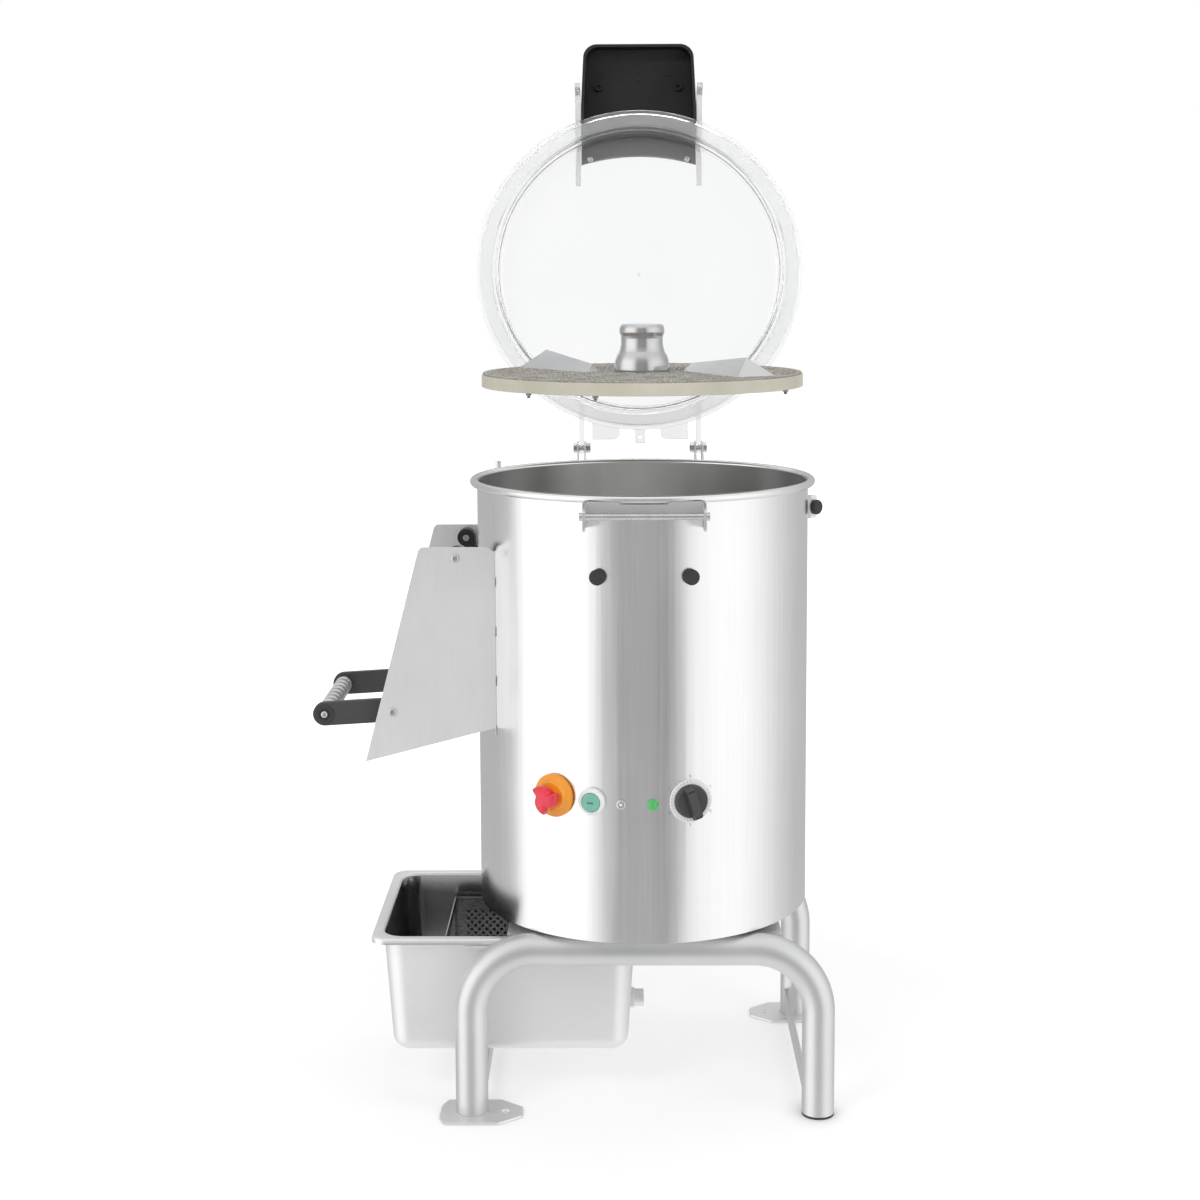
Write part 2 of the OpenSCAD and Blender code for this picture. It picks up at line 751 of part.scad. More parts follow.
module disc_hub() {
    foot = hub_foot_d / 2;
    waist = hub_waist_d / 2;
    top = hub_top_d / 2;
    base = disc_t;
    z = function (part) disc_t + grit_t + hub_h * part;
    half = drive_sq / 2 + move_gap;
    color([0.75, 0.76, 0.78]) translate([0, 0, disc_low]) difference() {
        rotate_extrude($fn = 96) polygon([
            [0, 0], [foot - 8, 0], [foot - 8, base], [foot, base], [foot - 0.6, z(0.12)], [foot - 1.8, z(0.26)],
            [foot - 2.8, z(0.33)], [foot - 4.4, z(0.385)], [waist + 2.4, z(0.43)], [waist + 1, z(0.49)],
            [waist + 0.3, z(0.56)], [waist, z(0.64)], [waist + 0.1, z(0.71)], [waist + 0.5, z(0.76)],
            [top - 0.5, z(0.81)], [top, z(0.85)], [top - 0.2, z(0.9)], [top - 1.3, z(0.96)], [top - 3.2, z(1)],
            [0, z(1)]
        ]);
        translate([-half, -half, -1]) cube([2 * half, 2 * half, drive_sq_l + 2]);
        translate([0, 0, 0]) cylinder(r = drive_sq / 2 + move_gap, h = drive_sq_l + pilot_l + 3);
    }
}

// A folded paddle with a ridge that rises outwards, on the disc's +X side
module paddle() {
    points = [
        [50, 4, 0], [108, -128, 0], [153, -94, 0], [66, 16, 0],
        [60, 6, paddle_h * 0.45], [119, -106, paddle_h]
    ];
    polyhedron(points, [[0, 1, 2, 3], [0, 5, 1], [0, 4, 5], [1, 5, 2], [2, 5, 4], [2, 4, 3], [3, 4, 0]]);
}

module disc_paddles() {
    color("silver") for (a = [0, 180]) translate([0, 0, disc_top]) rotate([0, 0, a]) paddle();
}

module disc_screws() {
    color([0.3, 0.3, 0.32]) for (a = [-26, 45, 73, 154, 225, 253]) rotate([0, 0, a])
        translate([disc_screw_r, 0, disc_low - 6]) {
            cylinder(d = 7, h = 4, $fn = 6);
            translate([0, 0, 4 - eps]) cylinder(d = 4, h = 2 + eps);
        }
}

// ---- Lid, drawn closed and then swung open about its hinge pins

module lid_place() {
    translate([0, hinge_y, hinge_z]) rotate([-lid_open, 0, 0]) translate([0, -hinge_y, -hinge_z]) children();
}

// Half section of the lid: rolled flange, lip, wall, shoulder and crown
module lid_section() {
    ro = lid_d / 2;
    rw = lid_wall_d / 2;
    fillet = 8;
    top_r = rw - fillet;
    crown_z = function (r) shoulder_top + lid_crown * (1 - pow(r / top_r, 2));
    polygon(concat(
        [[0, crown_z(0)]],
        [for (i = [1 : 8]) let (r = top_r * i / 8) [r, crown_z(r)]],
        [for (a = [75 : -15 : 0]) [top_r + fillet * cos(a), shoulder_top - fillet + fillet * sin(a)]],
        [[rw, lid_top + 2], [rw + 2, lid_top], [ro - 5, lid_top], [ro - 3, lid_top + 1], [ro - 1, lid_top + 1],
         [ro, lid_top], [ro, lid_low], [rw + 2, lid_low], [rw + 2, lid_low - lid_lip], [rw - 1, lid_low - lid_lip],
         [rw - 1, lid_low - 1], [rw - lid_t, lid_low + 3]],
        [for (a = [0 : 15 : 75]) [top_r + (fillet - lid_t) * cos(a), shoulder_top - fillet + (fillet - lid_t) * sin(a)]],
        [for (i = [8 : -1 : 0]) let (r = top_r * i / 8) [r, crown_z(r) - lid_t]]
    ));
}

module lid_dome() {
    color([0.9, 0.93, 0.95, 0.35]) lid_place() rotate_extrude($fn = 180) lid_section();
}

// Side outline of the handle in the YZ plane: w is how far it lies inside the outer skin
module handle_side(w) {
    y1 = -handle_reach + w;
    y0 = -handle_inner_r + 14;
    z0 = lid_low;
    polygon([
        [y0, z0 - 8], [y0, shoulder_top + 10 - w], [-195, shoulder_top + 20 - w],
        [-handle_reach + 48, shoulder_top + 17 - w], [-handle_reach + 14 + w / 2, shoulder_top + 2 - w],
        [y1, shoulder_top - 14 - w / 2], [y1, z0 - 8]
    ]);
}

// Plan outline of the handle, narrower and rounded at its outer end
module handle_plan(w) {
    half = handle_w / 2 - w;
    far = half - 3;
    r = handle_corner_r - w / 2;
    tip = -handle_reach + w;
    polygon([[-half, -100], [-half, -225], [-far, tip + r], [far, tip + r], [half, -225], [half, -100]]);
    translate([-far + r, tip]) square([2 * (far - r), r + 1]);
    for (s = [-1, 1]) translate([s * (far - r), tip + r]) circle(r);
}

module handle_solid(w) {
    intersection() {
        along_x(-handle_w, handle_w) handle_side(w);
        translate([0, 0, lid_low - 20]) linear_extrude(height = 120) handle_plan(w);
    }
}

// Clears everything that the lid's flange, edge bead, wall and crown take up
module lid_clearance() {
    drum_solid(lid_d / 2 - 3, lid_low - 60, lid_top);
    drum_solid(lid_d / 2 + 0.2, lid_low - 60, lid_top + 1);
    drum_solid(lid_wall_d / 2 + 2.1, lid_low - 60, lid_top + 2);
    drum_solid(lid_wall_d / 2 + 0.1, lid_low - 60, shoulder_top + lid_crown * 0.36);
}

module lid_handle() {
    color([0.05, 0.05, 0.06]) lid_place() difference() {
        handle_solid(0);
        difference() {
            handle_solid(handle_wall);
            drum_solid(lid_wall_d / 2 + 3, lid_low - 20, shoulder_top + 60);
        }
        translate([-handle_w, -handle_reach - 1, lid_low - 30]) cube([2 * handle_w, handle_reach, 30]);
        translate([0, handle_arc_r - handle_inner_r, lid_low - 20]) cylinder(r = handle_arc_r, h = 120, $fn = 180);
        lid_clearance();
    }
}

module lid_catch_arms() {
    z = shoulder_top + 6;
    color([0.88, 0.91, 0.94, 0.5]) lid_place() both_x() difference() {
        along_x(catch_x, catch_x + catch_t) polygon(concat(
            arc([-126, z], 3, -90, 90, 12),
            [[-178, z + 6], [-208, z + 1], [-234, lid_top + 17]],
            arc([-244, lid_top + 6], 7, 100, 180, 6),
            arc([-246, latch_z], 5, 180, 360, 12),
            [[-239, lid_low - 10], [-229, lid_top - 1], [-178, z - 6]]
        ));
        lid_clearance();
    }
}

module lid_hinge_arms() {
    pin = [hinge_y, hinge_z];
    inner = hinge_x - hinge_arm_t / 2;
    color([0.88, 0.91, 0.94, 0.5]) lid_place() {
        both_x() difference() {
            along_x(inner, inner + hinge_arm_t)
                link2d([lid_wall_d / 2 - 5, lid_top + 5], pin, 5, 9);
            lid_clearance();
            translate([0, hinge_y, hinge_z]) rotate([0, 90, 0])
                cylinder(d = hinge_pin_d + 2 * pin_gap, h = 2 * hinge_x);
        }
        difference() {
            translate([0, 0, lid_low + 0.5]) linear_extrude(height = 3.5) {
                translate([-7, lid_d / 2 - 6]) square([14, 24]);
                for (s = [-1, 1]) polygon([[s * 27, 200], [s * 27, 228], [s * 34, 233], [s * 64, 233], [s * 64, 190]]);
            }
            drum_solid(lid_d / 2, lid_low - 20, lid_top + 2);
            translate([0, lid_d / 2 + 10, lid_low - 1]) cylinder(d = 5, h = 10);
        }
    }
}

module handle_screws() {
    z = shoulder_top + lid_crown * 0.1 - lid_t;
    color("silver") lid_place() both_x()
        translate([handle_screw_x, -handle_screw_y, z - 3.4]) cylinder(d = 8, h = 2.8);
}

// ---- Lid hinge and latch on the drum

module hinge_brackets() {
    slot = hinge_arm_t / 2 + move_gap;
    color("silver") both_x() difference() {
        union() {
            for (x = [hinge_x - slot - cheek_t, hinge_x + slot]) along_x(x, x + cheek_t) {
                link2d([hinge_y, hinge_z - 24], [hinge_y, hinge_z], 9, 9);
                polygon([[150, rim_z - 45], [hinge_y, hinge_z - 33], [hinge_y + 9, hinge_z - 24],
                    [hinge_y, hinge_z], [208, rim_z + 2], [150, rim_z + 2]]);
            }
            translate([hinge_x - slot - 1, 196, rim_z - 40]) cube([2 * slot + 2, cheek_t, 43]);
        }
        drum_solid(drum_r, drum_z0, rim_z + 40);
        drum_solid(bead_at + bead_r + 0.2, rim_z - bead_r - 2, rim_z + 8);
        translate([0, hinge_y, hinge_z]) rotate([0, 90, 0]) cylinder(d = hinge_pin_d, h = 2 * hinge_x);
    }
}

module hinge_bolts() {
    out = hinge_arm_t / 2 + move_gap + cheek_t;
    color("lightgray") both_x() translate([hinge_x, hinge_y, hinge_z]) rotate([0, 90, 0]) {
        translate([0, 0, -out]) cylinder(d = hinge_pin_d, h = 2 * out);
        translate([0, 0, out - eps]) cylinder(d = 14, h = 5, $fn = 6);
        translate([0, 0, -out - 6 + eps]) cylinder(d = 14, h = 6, $fn = 6);
    }
}

module latch_bracket() {
    half = ear_x - ear_t;
    low = latch_z + 1;
    high = rim_z - 2;
    r = 6;
    color("silver") difference() {
        union() {
            both_x() along_x(half, ear_x) polygon([
                [-150, latch_z - 16], [-latch_y - 4, latch_z - 16], [-latch_y - 7, latch_z - 13],
                [-latch_y - 7, latch_z + 5], [-latch_y - 2, latch_z + 10], [-latch_y + 12, latch_z + 14],
                [-150, latch_z + 14]
            ]);
            along_y(-207, -204.5) polygon([
                [-ear_x, low], [-ear_x, high - r], [-ear_x + 2, high - 2], [-ear_x + r, high],
                [ear_x - r, high], [ear_x - 2, high - 2], [ear_x, high - r], [ear_x, low]
            ]);
        }
        drum_solid(drum_r, drum_z0, rim_z + 40);
        drum_solid(bead_at + bead_r + 0.2, rim_z - bead_r - 0.3, rim_z + 40);
        translate([-100, -latch_y, latch_z]) rotate([0, 90, 0]) cylinder(d = latch_rod_d, h = 200);
    }
}

module latch_rod() {
    color("lightgray") {
        translate([-ear_x, -latch_y, latch_z]) rotate([0, 90, 0]) cylinder(d = latch_rod_d, h = 2 * ear_x);
        both_x() translate([ear_x - eps, -latch_y, latch_z]) rotate([0, 90, 0])
            cylinder(d = latch_rod_d + 1.5, h = rod_head_l);
    }
}

// ---- Bumpers

module bumper() {
    rotate_extrude($fn = 48) polygon([
        [0, -8], [3, -8], [3, 0], [bumper_d / 2 - 2, 0], [bumper_d / 2, 2], [bumper_d / 2, bumper_h - 2],
        [bumper_d / 2 - 2, bumper_h], [0, bumper_h]
    ]);
}

module front_bumpers() {
    color([0.1, 0.1, 0.1]) for (s = [-1, 1]) on_drum(s * bumper_angle, rim_z - bumper_down) bumper();
}

module side_bracket() {
    z = rim_z - side_bumper_down;
    color("silver") difference() {
        translate([0, 0, z - 13.5]) linear_extrude(height = 27)
            polygon([[190, 14], [drum_r + 12, 2], [drum_r + 4, -6], [190, -6]]);
        drum_solid(drum_r, drum_z0, rim_z + 40);
        translate([drum_r + 8, -2, z]) rotate([0, 0, 45]) rotate([90, 0, 0]) cylinder(d = 6, h = 18, center = true);
    }
}

module side_bumper() {
    color([0.1, 0.1, 0.1]) translate([drum_r + 8, -2, rim_z - side_bumper_down]) rotate([0, 0, 45])
        rotate([90, 0, 0]) rotate_extrude($fn = 48) polygon([
            [0, -7.9], [3, -7.9], [3, 0], [bumper_d / 2 - 2, 0], [bumper_d / 2, 2],
            [bumper_d / 2, bumper_h - 3], [bumper_d / 2 - 2, bumper_h - 1], [0, bumper_h - 1]
        ]);
}

// ---- Chute, door and lever

// Side plate outline in the XZ plane
module chute_side2d() {
    top_x = -(drum_r + chute_top_out);
    polygon([
        [-150, chute_root_z + 6], [-(drum_r + chute_out), chute_tip_z], [top_x - 1.2, chute_top - 4],
        [top_x + 2.5, chute_top], [-drum_r + 18, chute_top], [-drum_r + 24, chute_top - 5], [-150, chute_top - 5]
    ]);
}

module chute_sides() {
    color("gainsboro") difference() {
        both_y() along_y(chute_in, chute_in + chute_t) chute_side2d();
        drum_solid(drum_r, drum_z0, rim_z);
        for (p = [[door_x, door_z, door_rod_d], [lever_x, lever_z, lever_pin_d]])
            translate([p[0], -chute_w, p[1]]) rotate([-90, 0, 0]) cylinder(d = p[2], h = 2 * chute_w);
    }
}

module chute_floor() {
    slope = (chute_root_z - chute_tip_z) / (chute_out + 26.8);
    z_at = function (x) chute_root_z - slope * (-173.2 - x);
    far = -(drum_r + chute_out) + 4;
    color("gainsboro") difference() {
        along_y(-chute_in, chute_in) polygon([
            [-150, z_at(-150)], [far, z_at(far)], [far, z_at(far) + 2], [-150, z_at(-150) + 2]
        ]);
        drum_solid(drum_r, drum_z0, rim_z);
    }
}

// A short pin at each side carries one of the door's arms
module door_hinge_rod() {
    inner = panel_half - door_arm_rib - door_pin_proud;
    color("lightgray") both_y() translate([door_x, inner, door_z]) rotate([-90, 0, 0])
        cylinder(d = door_rod_d, h = chute_w / 2 - inner);
}

module chute_screws() {
    color("silver") both_y() {
        translate([door_x, chute_w / 2, door_z]) rotate([-90, 0, 0]) cylinder(d = 11, h = 3);
        translate([lever_x, chute_w / 2, lever_z]) rotate([-90, 0, 0]) cylinder(d = 11, h = 3);
        translate([lever_x, lever_y, lever_z]) rotate([-90, 0, 0])
            cylinder(d = lever_pin_d, h = chute_w / 2 - lever_y + eps);
    }
}

module door_panel() {
    color("gainsboro") intersection() {
        translate([0, 0, panel_low]) ring(panel_out_r, panel_r, panel_top - panel_low, $fn = 180);
        translate([-2 * drum_r, -panel_half, 0]) cube([2 * drum_r, 2 * panel_half, rim_z]);
    }
}

module door_gasket() {
    color([0.12, 0.12, 0.12]) difference() {
        intersection() {
            translate([0, 0, panel_low]) ring(panel_r, gasket_r, panel_top - panel_low, $fn = 180);
            translate([-2 * drum_r, -panel_half, 0]) cube([2 * drum_r, 2 * panel_half, rim_z]);
        }
        translate([-2 * drum_r, -opening_w / 2, opening_z0]) cube([2 * drum_r, opening_w, opening_h]);
    }
}

module door_arms() {
    rib_y = panel_half - door_arm_rib;
    face = door_x - door_arm_face;
    back = door_x + door_arm_back;
    color([0.06, 0.06, 0.07]) both_y() difference() {
        union() {
            along_y(rib_y, panel_half + 2) polygon([
                [back, door_z], [back - 4, door_z - 30], [back + 3, panel_low + 6], [-170, panel_low + 6],
                [-170, panel_top - 2], [back, panel_top - 2]
            ]);
            along_y(rib_y, lever_y + lever_t) {
                translate([door_x, door_z]) circle(11);
                polygon([[face, door_z], [face, door_z - door_arm_l], [back, door_z - door_arm_l], [back, door_z]]);
            }
        }
        drum_solid(panel_out_r, drum_z0, rim_z);
        translate([door_x, -chute_w, door_z]) rotate([-90, 0, 0])
            cylinder(d = door_rod_d + 2 * pin_gap, h = 2 * chute_w);
    }
}

// Outline of a bell crank: from the pivot to the grip one way and to the roller the other way
module crank2d() {
    pivot = [lever_x, lever_z];
    out = 180 + lever_droop;
    lean = acos((lever_end_r - roller_r) / lever_inner_l);
    in_a = lever_inner_angle;
    n1 = [cos(out - 90), sin(out - 90)];
    n2 = [cos(in_a + lean), sin(in_a + lean)];
    polygon(concat(
        arc(grip_at, lever_end_r, out - 90, out + 90, 24),
        arc(pivot, lever_end_r, out + 90, in_a - lean + 360, 12),
        arc(roller_at, roller_r, in_a - lean, in_a + lean, 24),
        [pivot + lever_end_r * (n1 + n2) / (1 + n1 * n2)]
    ));
}

module lever_arms() {
    color([0.05, 0.05, 0.06]) both_y() difference() {
        along_y(lever_y + move_gap, lever_y + lever_t) crank2d();
        translate([lever_x, 0, lever_z]) rotate([-90, 0, 0]) cylinder(d = lever_pin_d + 2 * pin_gap, h = chute_w);
        translate([grip_at[0], 0, grip_at[1]]) rotate([-90, 0, 0]) cylinder(d = 6, h = chute_w);
    }
}

module lever_grip() {
    l = 2 * (lever_y + move_gap);
    step = l / grip_ribs;
    r = grip_d / 2;
    color([0.75, 0.75, 0.73]) translate([grip_at[0], -l / 2, grip_at[1]]) rotate([-90, 0, 0])
        rotate_extrude($fn = 48) {
            square([r - 2, l]);
            for (i = [0 : grip_ribs - 1]) translate([0, step * i + step * 0.18]) square([r, step * 0.64]);
        }
}

module lever_bolts() {
    color("silver") both_y() translate([grip_at[0], lever_y + move_gap, grip_at[1]]) rotate([-90, 0, 0]) {
        cylinder(d = 6, h = lever_t - move_gap + eps);
        translate([0, 0, lever_t - move_gap]) cylinder(d = 10, h = 3);
    }
}

// ---- Controls

module estop_base() {
    color([0.95, 0.65, 0.1]) on_control(0) difference() {
        union() {
            rotate_extrude($fn = 96) polygon([
                [0, -14], [wall_hole_r - 0.1, -14], [wall_hole_r - 0.1, 0], [estop_plate_d / 2, 0], [estop_plate_d / 2, 4],
                [19, 6], [17, 11], [0, 11]
            ]);
        }
        translate([0, 0, -20]) cylinder(r = 8 + pin_gap, h = 40);
    }
}

module estop_button() {
    head_r = estop_head_d / 2;
    gap = estop_travel + 1;
    color([0.85, 0.12, 0.15]) on_control(0) rotate_extrude($fn = 96) polygon([
        [0, -9], [8, -9], [8, 11 + gap], [head_r - 2, 11 + gap], [head_r, 13 + gap], [head_r, 17 + gap],
        [head_r - 3, 20.5 + gap], [head_r * 0.5, 22.5 + gap], [0, 23 + gap]
    ]);
}

module start_bezel() {
    color([0.93, 0.93, 0.91]) on_control(1) difference() {
        rotate_extrude($fn = 96) polygon([
            [0, -14], [wall_hole_r - 0.1, -14], [wall_hole_r - 0.1, 0], [start_bezel_d / 2, 0], [start_bezel_d / 2, 5],
            [start_bezel_d / 2 - 2.5, 8], [start_cap_d / 2 + move_gap, 8], [start_cap_d / 2 + move_gap, 4.5], [0, 4.5]
        ]);
        translate([0, 0, 4.5 - start_travel - 0.5]) cylinder(r = start_cap_d / 2 + move_gap, h = 10);
        translate([0, 0, -20]) cylinder(r = 5 + pin_gap, h = 40);
    }
}

module start_button() {
    low = 4.5;
    color([0.2, 0.6, 0.5]) on_control(1) rotate_extrude($fn = 96) polygon([
        [0, -9], [5, -9], [5, low], [start_cap_d / 2, low], [start_cap_d / 2, 8.5], [start_cap_d / 2 - 1.5, 10], [0, 10]
    ]);
}

module indicator_lamps() {
    color([0.6, 0.62, 0.65]) on_control(2) rotate_extrude($fn = 64) polygon([
        [0, -8], [2.9, -8], [2.9, 0], [reset_d / 2, 0], [reset_d / 2, 2.5], [reset_d / 2 - 1.5, 4], [0, 4]
    ]);
    color([0.15, 0.65, 0.25]) on_control(3) rotate_extrude($fn = 64) polygon([
        [0, -10], [3.9, -10], [3.9, 0], [lamp_d / 2, 0], [lamp_d / 2, 2.5], [lamp_d / 2 - 2, 5], [0, 6]
    ]);
}

module timer_dial() {
    color([0.85, 0.86, 0.87]) on_control(4) ring(dial_d / 2, spindle_d / 2 + 2, 1.4);
}

module timer_knob() {
    r = knob_d / 2;
    z = 1.4 + move_gap;
    color([0.05, 0.05, 0.06]) on_control(4) rotate([0, 0, knob_turn]) difference() {
        union() {
            rotate_extrude($fn = 96) polygon([
                [0, -14], [spindle_d / 2, -14], [spindle_d / 2, z], [r, z], [r, z + 3], [r - 1.5, z + 5],
                [r - 2.5, z + knob_h - 3], [r - 4.5, z + knob_h - 1], [0, z + knob_h - 1]
            ]);
            translate([-4, -r - 2.5, z]) cube([8, 8, 5]);
        }
        for (s = [-1, 1]) translate([s > 0 ? 5 : -r - 5, -r - 5, z + 7]) cube([r, 2 * r + 10, knob_h]);
    }
}

module switch_bodies() {
    depth = 42;
    color([0.2, 0.2, 0.22]) {
        for (i = [0, 1]) on_control(i) difference() {
            translate([-14, -14, -14 - depth]) cube([28, 28, depth]);
            translate([0, 0, -26]) cylinder(r = 8.5, h = 20);
        }
        on_control(4) difference() {
            translate([-20, -22, -4 - depth]) cube([40, 44, depth - 1]);
            translate([0, 0, -30]) cylinder(r = spindle_d / 2 + pin_gap, h = 40);
        }
    }
}

// ---- Pan

// Tapered box with round corners between two heights
module pan_solid(l, w, l_low, w_low, z0, z1, r, r_low) {
    hull() {
        translate([pan_mid_x, 0, z1 - 1]) linear_extrude(height = 1) round_rect(l, w, r, $fn = 32);
        for (x = [-1, 1], y = [-1, 1])
            translate([pan_mid_x + x * (l_low / 2 - r_low), y * (w_low / 2 - r_low), z0 + r_low])
                sphere(r_low, $fn = 32);
    }
}

module peel_pan() {
    low = pan_top - pan_h;
    low_l = body_l - 2 * pan_taper;
    low_w = body_w - 2 * pan_taper;
    color("gainsboro") difference() {
        union() {
            pan_solid(body_l, body_w, low_l, low_w, low, pan_top, 26, 20);
            translate([pan_mid_x, 0, pan_top - pan_wall]) linear_extrude(height = pan_wall)
                round_rect(pan_l, pan_w, 18);
            translate([pan_mid_x, 0, pan_top - pan_rim_h]) linear_extrude(height = pan_rim_h) difference() {
                round_rect(pan_l, pan_w, 18);
                round_rect(pan_l - 4, pan_w - 4, 16);
            }
        }
        pan_solid(body_l - 2 * pan_wall, body_w - 2 * pan_wall, low_l - 2 * pan_wall, low_w - 2 * pan_wall,
            low + pan_wall, pan_top + 2, 25, 19);
        translate([pan_right - 60, 0, low + 26]) rotate([0, 90, 0]) cylinder(d = 16, h = 60);
    }
}

module strainer() {
    low = pan_top - pan_h + pan_wall + 14;
    l = body_l - 2 * pan_taper - 74;
    w = body_w - 2 * pan_taper - 8;
    right = pan_right - pan_rim - pan_taper - 16;
    back = w / 2;
    cols = floor((l - 30) / strainer_pitch);
    rows = 9;
    color("silver") {
        for (x = [right - l + 26, right - 26], y = [-1, 1]) translate([x - 5, y * (w / 2 - 24) - 5, low - 13.9])
            cube([10, 10, 14]);
        difference() {
        translate([right - l, -w / 2, low]) cube([l, w, strainer_h]);
        translate([right - l + 1, -w / 2 + 1, low + 1]) cube([l - 2, w - 2, strainer_h]);
        for (i = [0 : cols - 1], j = [0 : rows - 1])
            translate([right - l + 12 + (i + (j % 2) / 2) * strainer_pitch, back - 3, low + 42 + j * strainer_pitch / 2])
                rotate([-90, 0, 0]) cylinder(d = strainer_hole_d, h = 6, $fn = 13);
        }
    }
}

module pan_drain() {
    z = pan_top - pan_h + 26;
    wall_x = pan_right - pan_rim - pan_taper + 2.2;
    color("lightgray") translate([wall_x, 0, z]) rotate([0, 90, 0]) difference() {
        union() {
            translate([0, 0, -12]) cylinder(d = 16, h = 16);
            translate([0, 0, 0]) cylinder(d = 27, h = 7, $fn = 6);
            translate([0, 0, 7 - eps]) cylinder(d = 21, h = 12);
        }
        translate([0, 0, -20]) cylinder(d = 12, h = 60);
    }
}

// ---- Water and power

module water_inlet() {
    z = rim_z - inlet_down;
    low = z - inlet_l;
    color("lightgray") rotate([0, 0, inlet_angle]) translate([0, -inlet_r, 0]) difference() {
        union() {
            translate([0, 0, low]) cylinder(d = inlet_d, h = inlet_l + 12);
            rotate([-90, 0, 0]) translate([0, -z, 0]) cylinder(d = inlet_d, h = inlet_r - inner_r + 2);
            translate([0, 0, low + inlet_d / 2]) rotate([90, 0, 0]) {
                cylinder(d = inlet_d, h = tail_out);
                translate([0, 0, tail_out - 9]) cylinder(d = tail_d + 5, h = 9, $fn = 6);
                translate([0, 0, tail_out - eps]) cylinder(d = tail_d, h = tail_l);
            }
        }
        translate([0, 0, low + 3]) cylinder(d = inlet_bore_d, h = inlet_l - 3 + inlet_bore_d / 2);
        rotate([-90, 0, 0]) translate([0, -z, 0]) cylinder(d = inlet_bore_d, h = inlet_r);
        translate([0, 0, low + inlet_d / 2]) rotate([90, 0, 0]) cylinder(d = inlet_bore_d, h = tail_out + tail_l + 1);
    }
}

// A bracket outside the lid's edge, with the pin that the closed lid stands beside
module pin_bracket() {
    reach = switch_r - drum_r;
    base = 12;
    color("silver") on_drum(inlet_angle, rim_z - base) difference() {
        union() {
            translate([-base / 2, -base, -3]) cube([base, base, reach + 8]);
            translate([0, -eps, reach]) rotate([-90, 0, 0]) cylinder(d = switch_d, h = base + switch_up + eps);
        }
        translate([0, -2 * base, -drum_r]) rotate([-90, 0, 0]) cylinder(r = drum_r, h = 3 * base, $fn = 180);
    }
}

module rim_brackets() {
    side_bracket();
    pin_bracket();
}

module cable_gland() {
    color([0.15, 0.15, 0.16]) on_drum(gland_angle, drum_z0 + gland_up) difference() {
        union() {
            translate([0, 0, -gland_d / 2]) cylinder(d = gland_d, h = gland_d / 2 + 2);
            translate([0, 0, 1]) cylinder(d = gland_d + 8, h = 6, $fn = 6);
            translate([0, 0, 7 - eps]) cylinder(d1 = gland_d + 3, d2 = gland_d - 2, h = gland_l);
        }
        translate([0, 0, -gland_d]) cylinder(d = cable_d + 4, h = gland_d + 9);
        translate([0, 0, 0]) cylinder(d = cable_d, h = gland_l + 20);
    }
}

front_leg_frame();
rear_leg_frame();
side_rails();
foot_plates();
foot_caps();
base_tray();
pan_runners();
drum_shell();
drum_base();
base_bolts();
chamber_floor();
drain_pipe();
bearing_housing();
shaft_bearings();
shaft_seal();
motor_body();
drive_belt();
chute_sides();
chute_floor();
door_hinge_rod();
chute_screws();
latch_bracket();
latch_rod();
front_bumpers();
rim_brackets();
side_bumper();
hinge_brackets();
hinge_bolts();
water_inlet();
estop_base();
start_bezel();
indicator_lamps();
timer_dial();
switch_bodies();
cable_gland();
main_shaft();
driven_pulley();
motor_rotor();
disc_plate();
abrasive_top();
disc_hub();
disc_paddles();
disc_screws();
lid_dome();
lid_handle();
lid_catch_arms();
lid_hinge_arms();
handle_screws();
door_panel();
door_gasket();
door_arms();
lever_arms();
lever_grip();
lever_bolts();
estop_button();
start_button();
timer_knob();
peel_pan();
strainer();
pan_drain();
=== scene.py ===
import bpy, bmesh, json
from math import asin, cos, hypot, pi, radians, sin, sqrt
from mathutils import Matrix, Vector

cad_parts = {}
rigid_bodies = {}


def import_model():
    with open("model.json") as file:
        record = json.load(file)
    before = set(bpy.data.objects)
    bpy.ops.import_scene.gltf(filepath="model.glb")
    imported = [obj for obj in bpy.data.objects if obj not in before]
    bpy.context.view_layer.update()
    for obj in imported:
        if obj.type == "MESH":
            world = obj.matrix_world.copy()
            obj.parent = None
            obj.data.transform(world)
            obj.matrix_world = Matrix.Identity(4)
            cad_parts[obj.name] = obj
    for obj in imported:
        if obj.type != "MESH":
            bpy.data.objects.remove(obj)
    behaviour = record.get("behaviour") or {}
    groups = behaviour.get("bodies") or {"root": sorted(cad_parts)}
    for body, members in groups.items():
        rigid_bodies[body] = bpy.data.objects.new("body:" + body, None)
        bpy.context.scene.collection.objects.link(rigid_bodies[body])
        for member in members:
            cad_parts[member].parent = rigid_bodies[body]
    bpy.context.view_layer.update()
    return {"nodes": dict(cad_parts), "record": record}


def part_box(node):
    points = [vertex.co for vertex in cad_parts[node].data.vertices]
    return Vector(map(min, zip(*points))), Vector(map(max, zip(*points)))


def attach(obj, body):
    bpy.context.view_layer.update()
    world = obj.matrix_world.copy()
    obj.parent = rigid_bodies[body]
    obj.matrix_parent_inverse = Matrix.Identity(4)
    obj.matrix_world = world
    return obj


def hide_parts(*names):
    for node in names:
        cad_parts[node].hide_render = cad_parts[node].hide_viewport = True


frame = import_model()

scene = bpy.context.scene
nodes = frame["nodes"]
bodyOf = {n: b for b, group in frame["record"]["behaviour"]["bodies"].items() for n in group}
slotOf = {s["node"]: s["material_slot"] for s in frame["record"]["subparts"]}
print("loaded", len(nodes), "nodes")

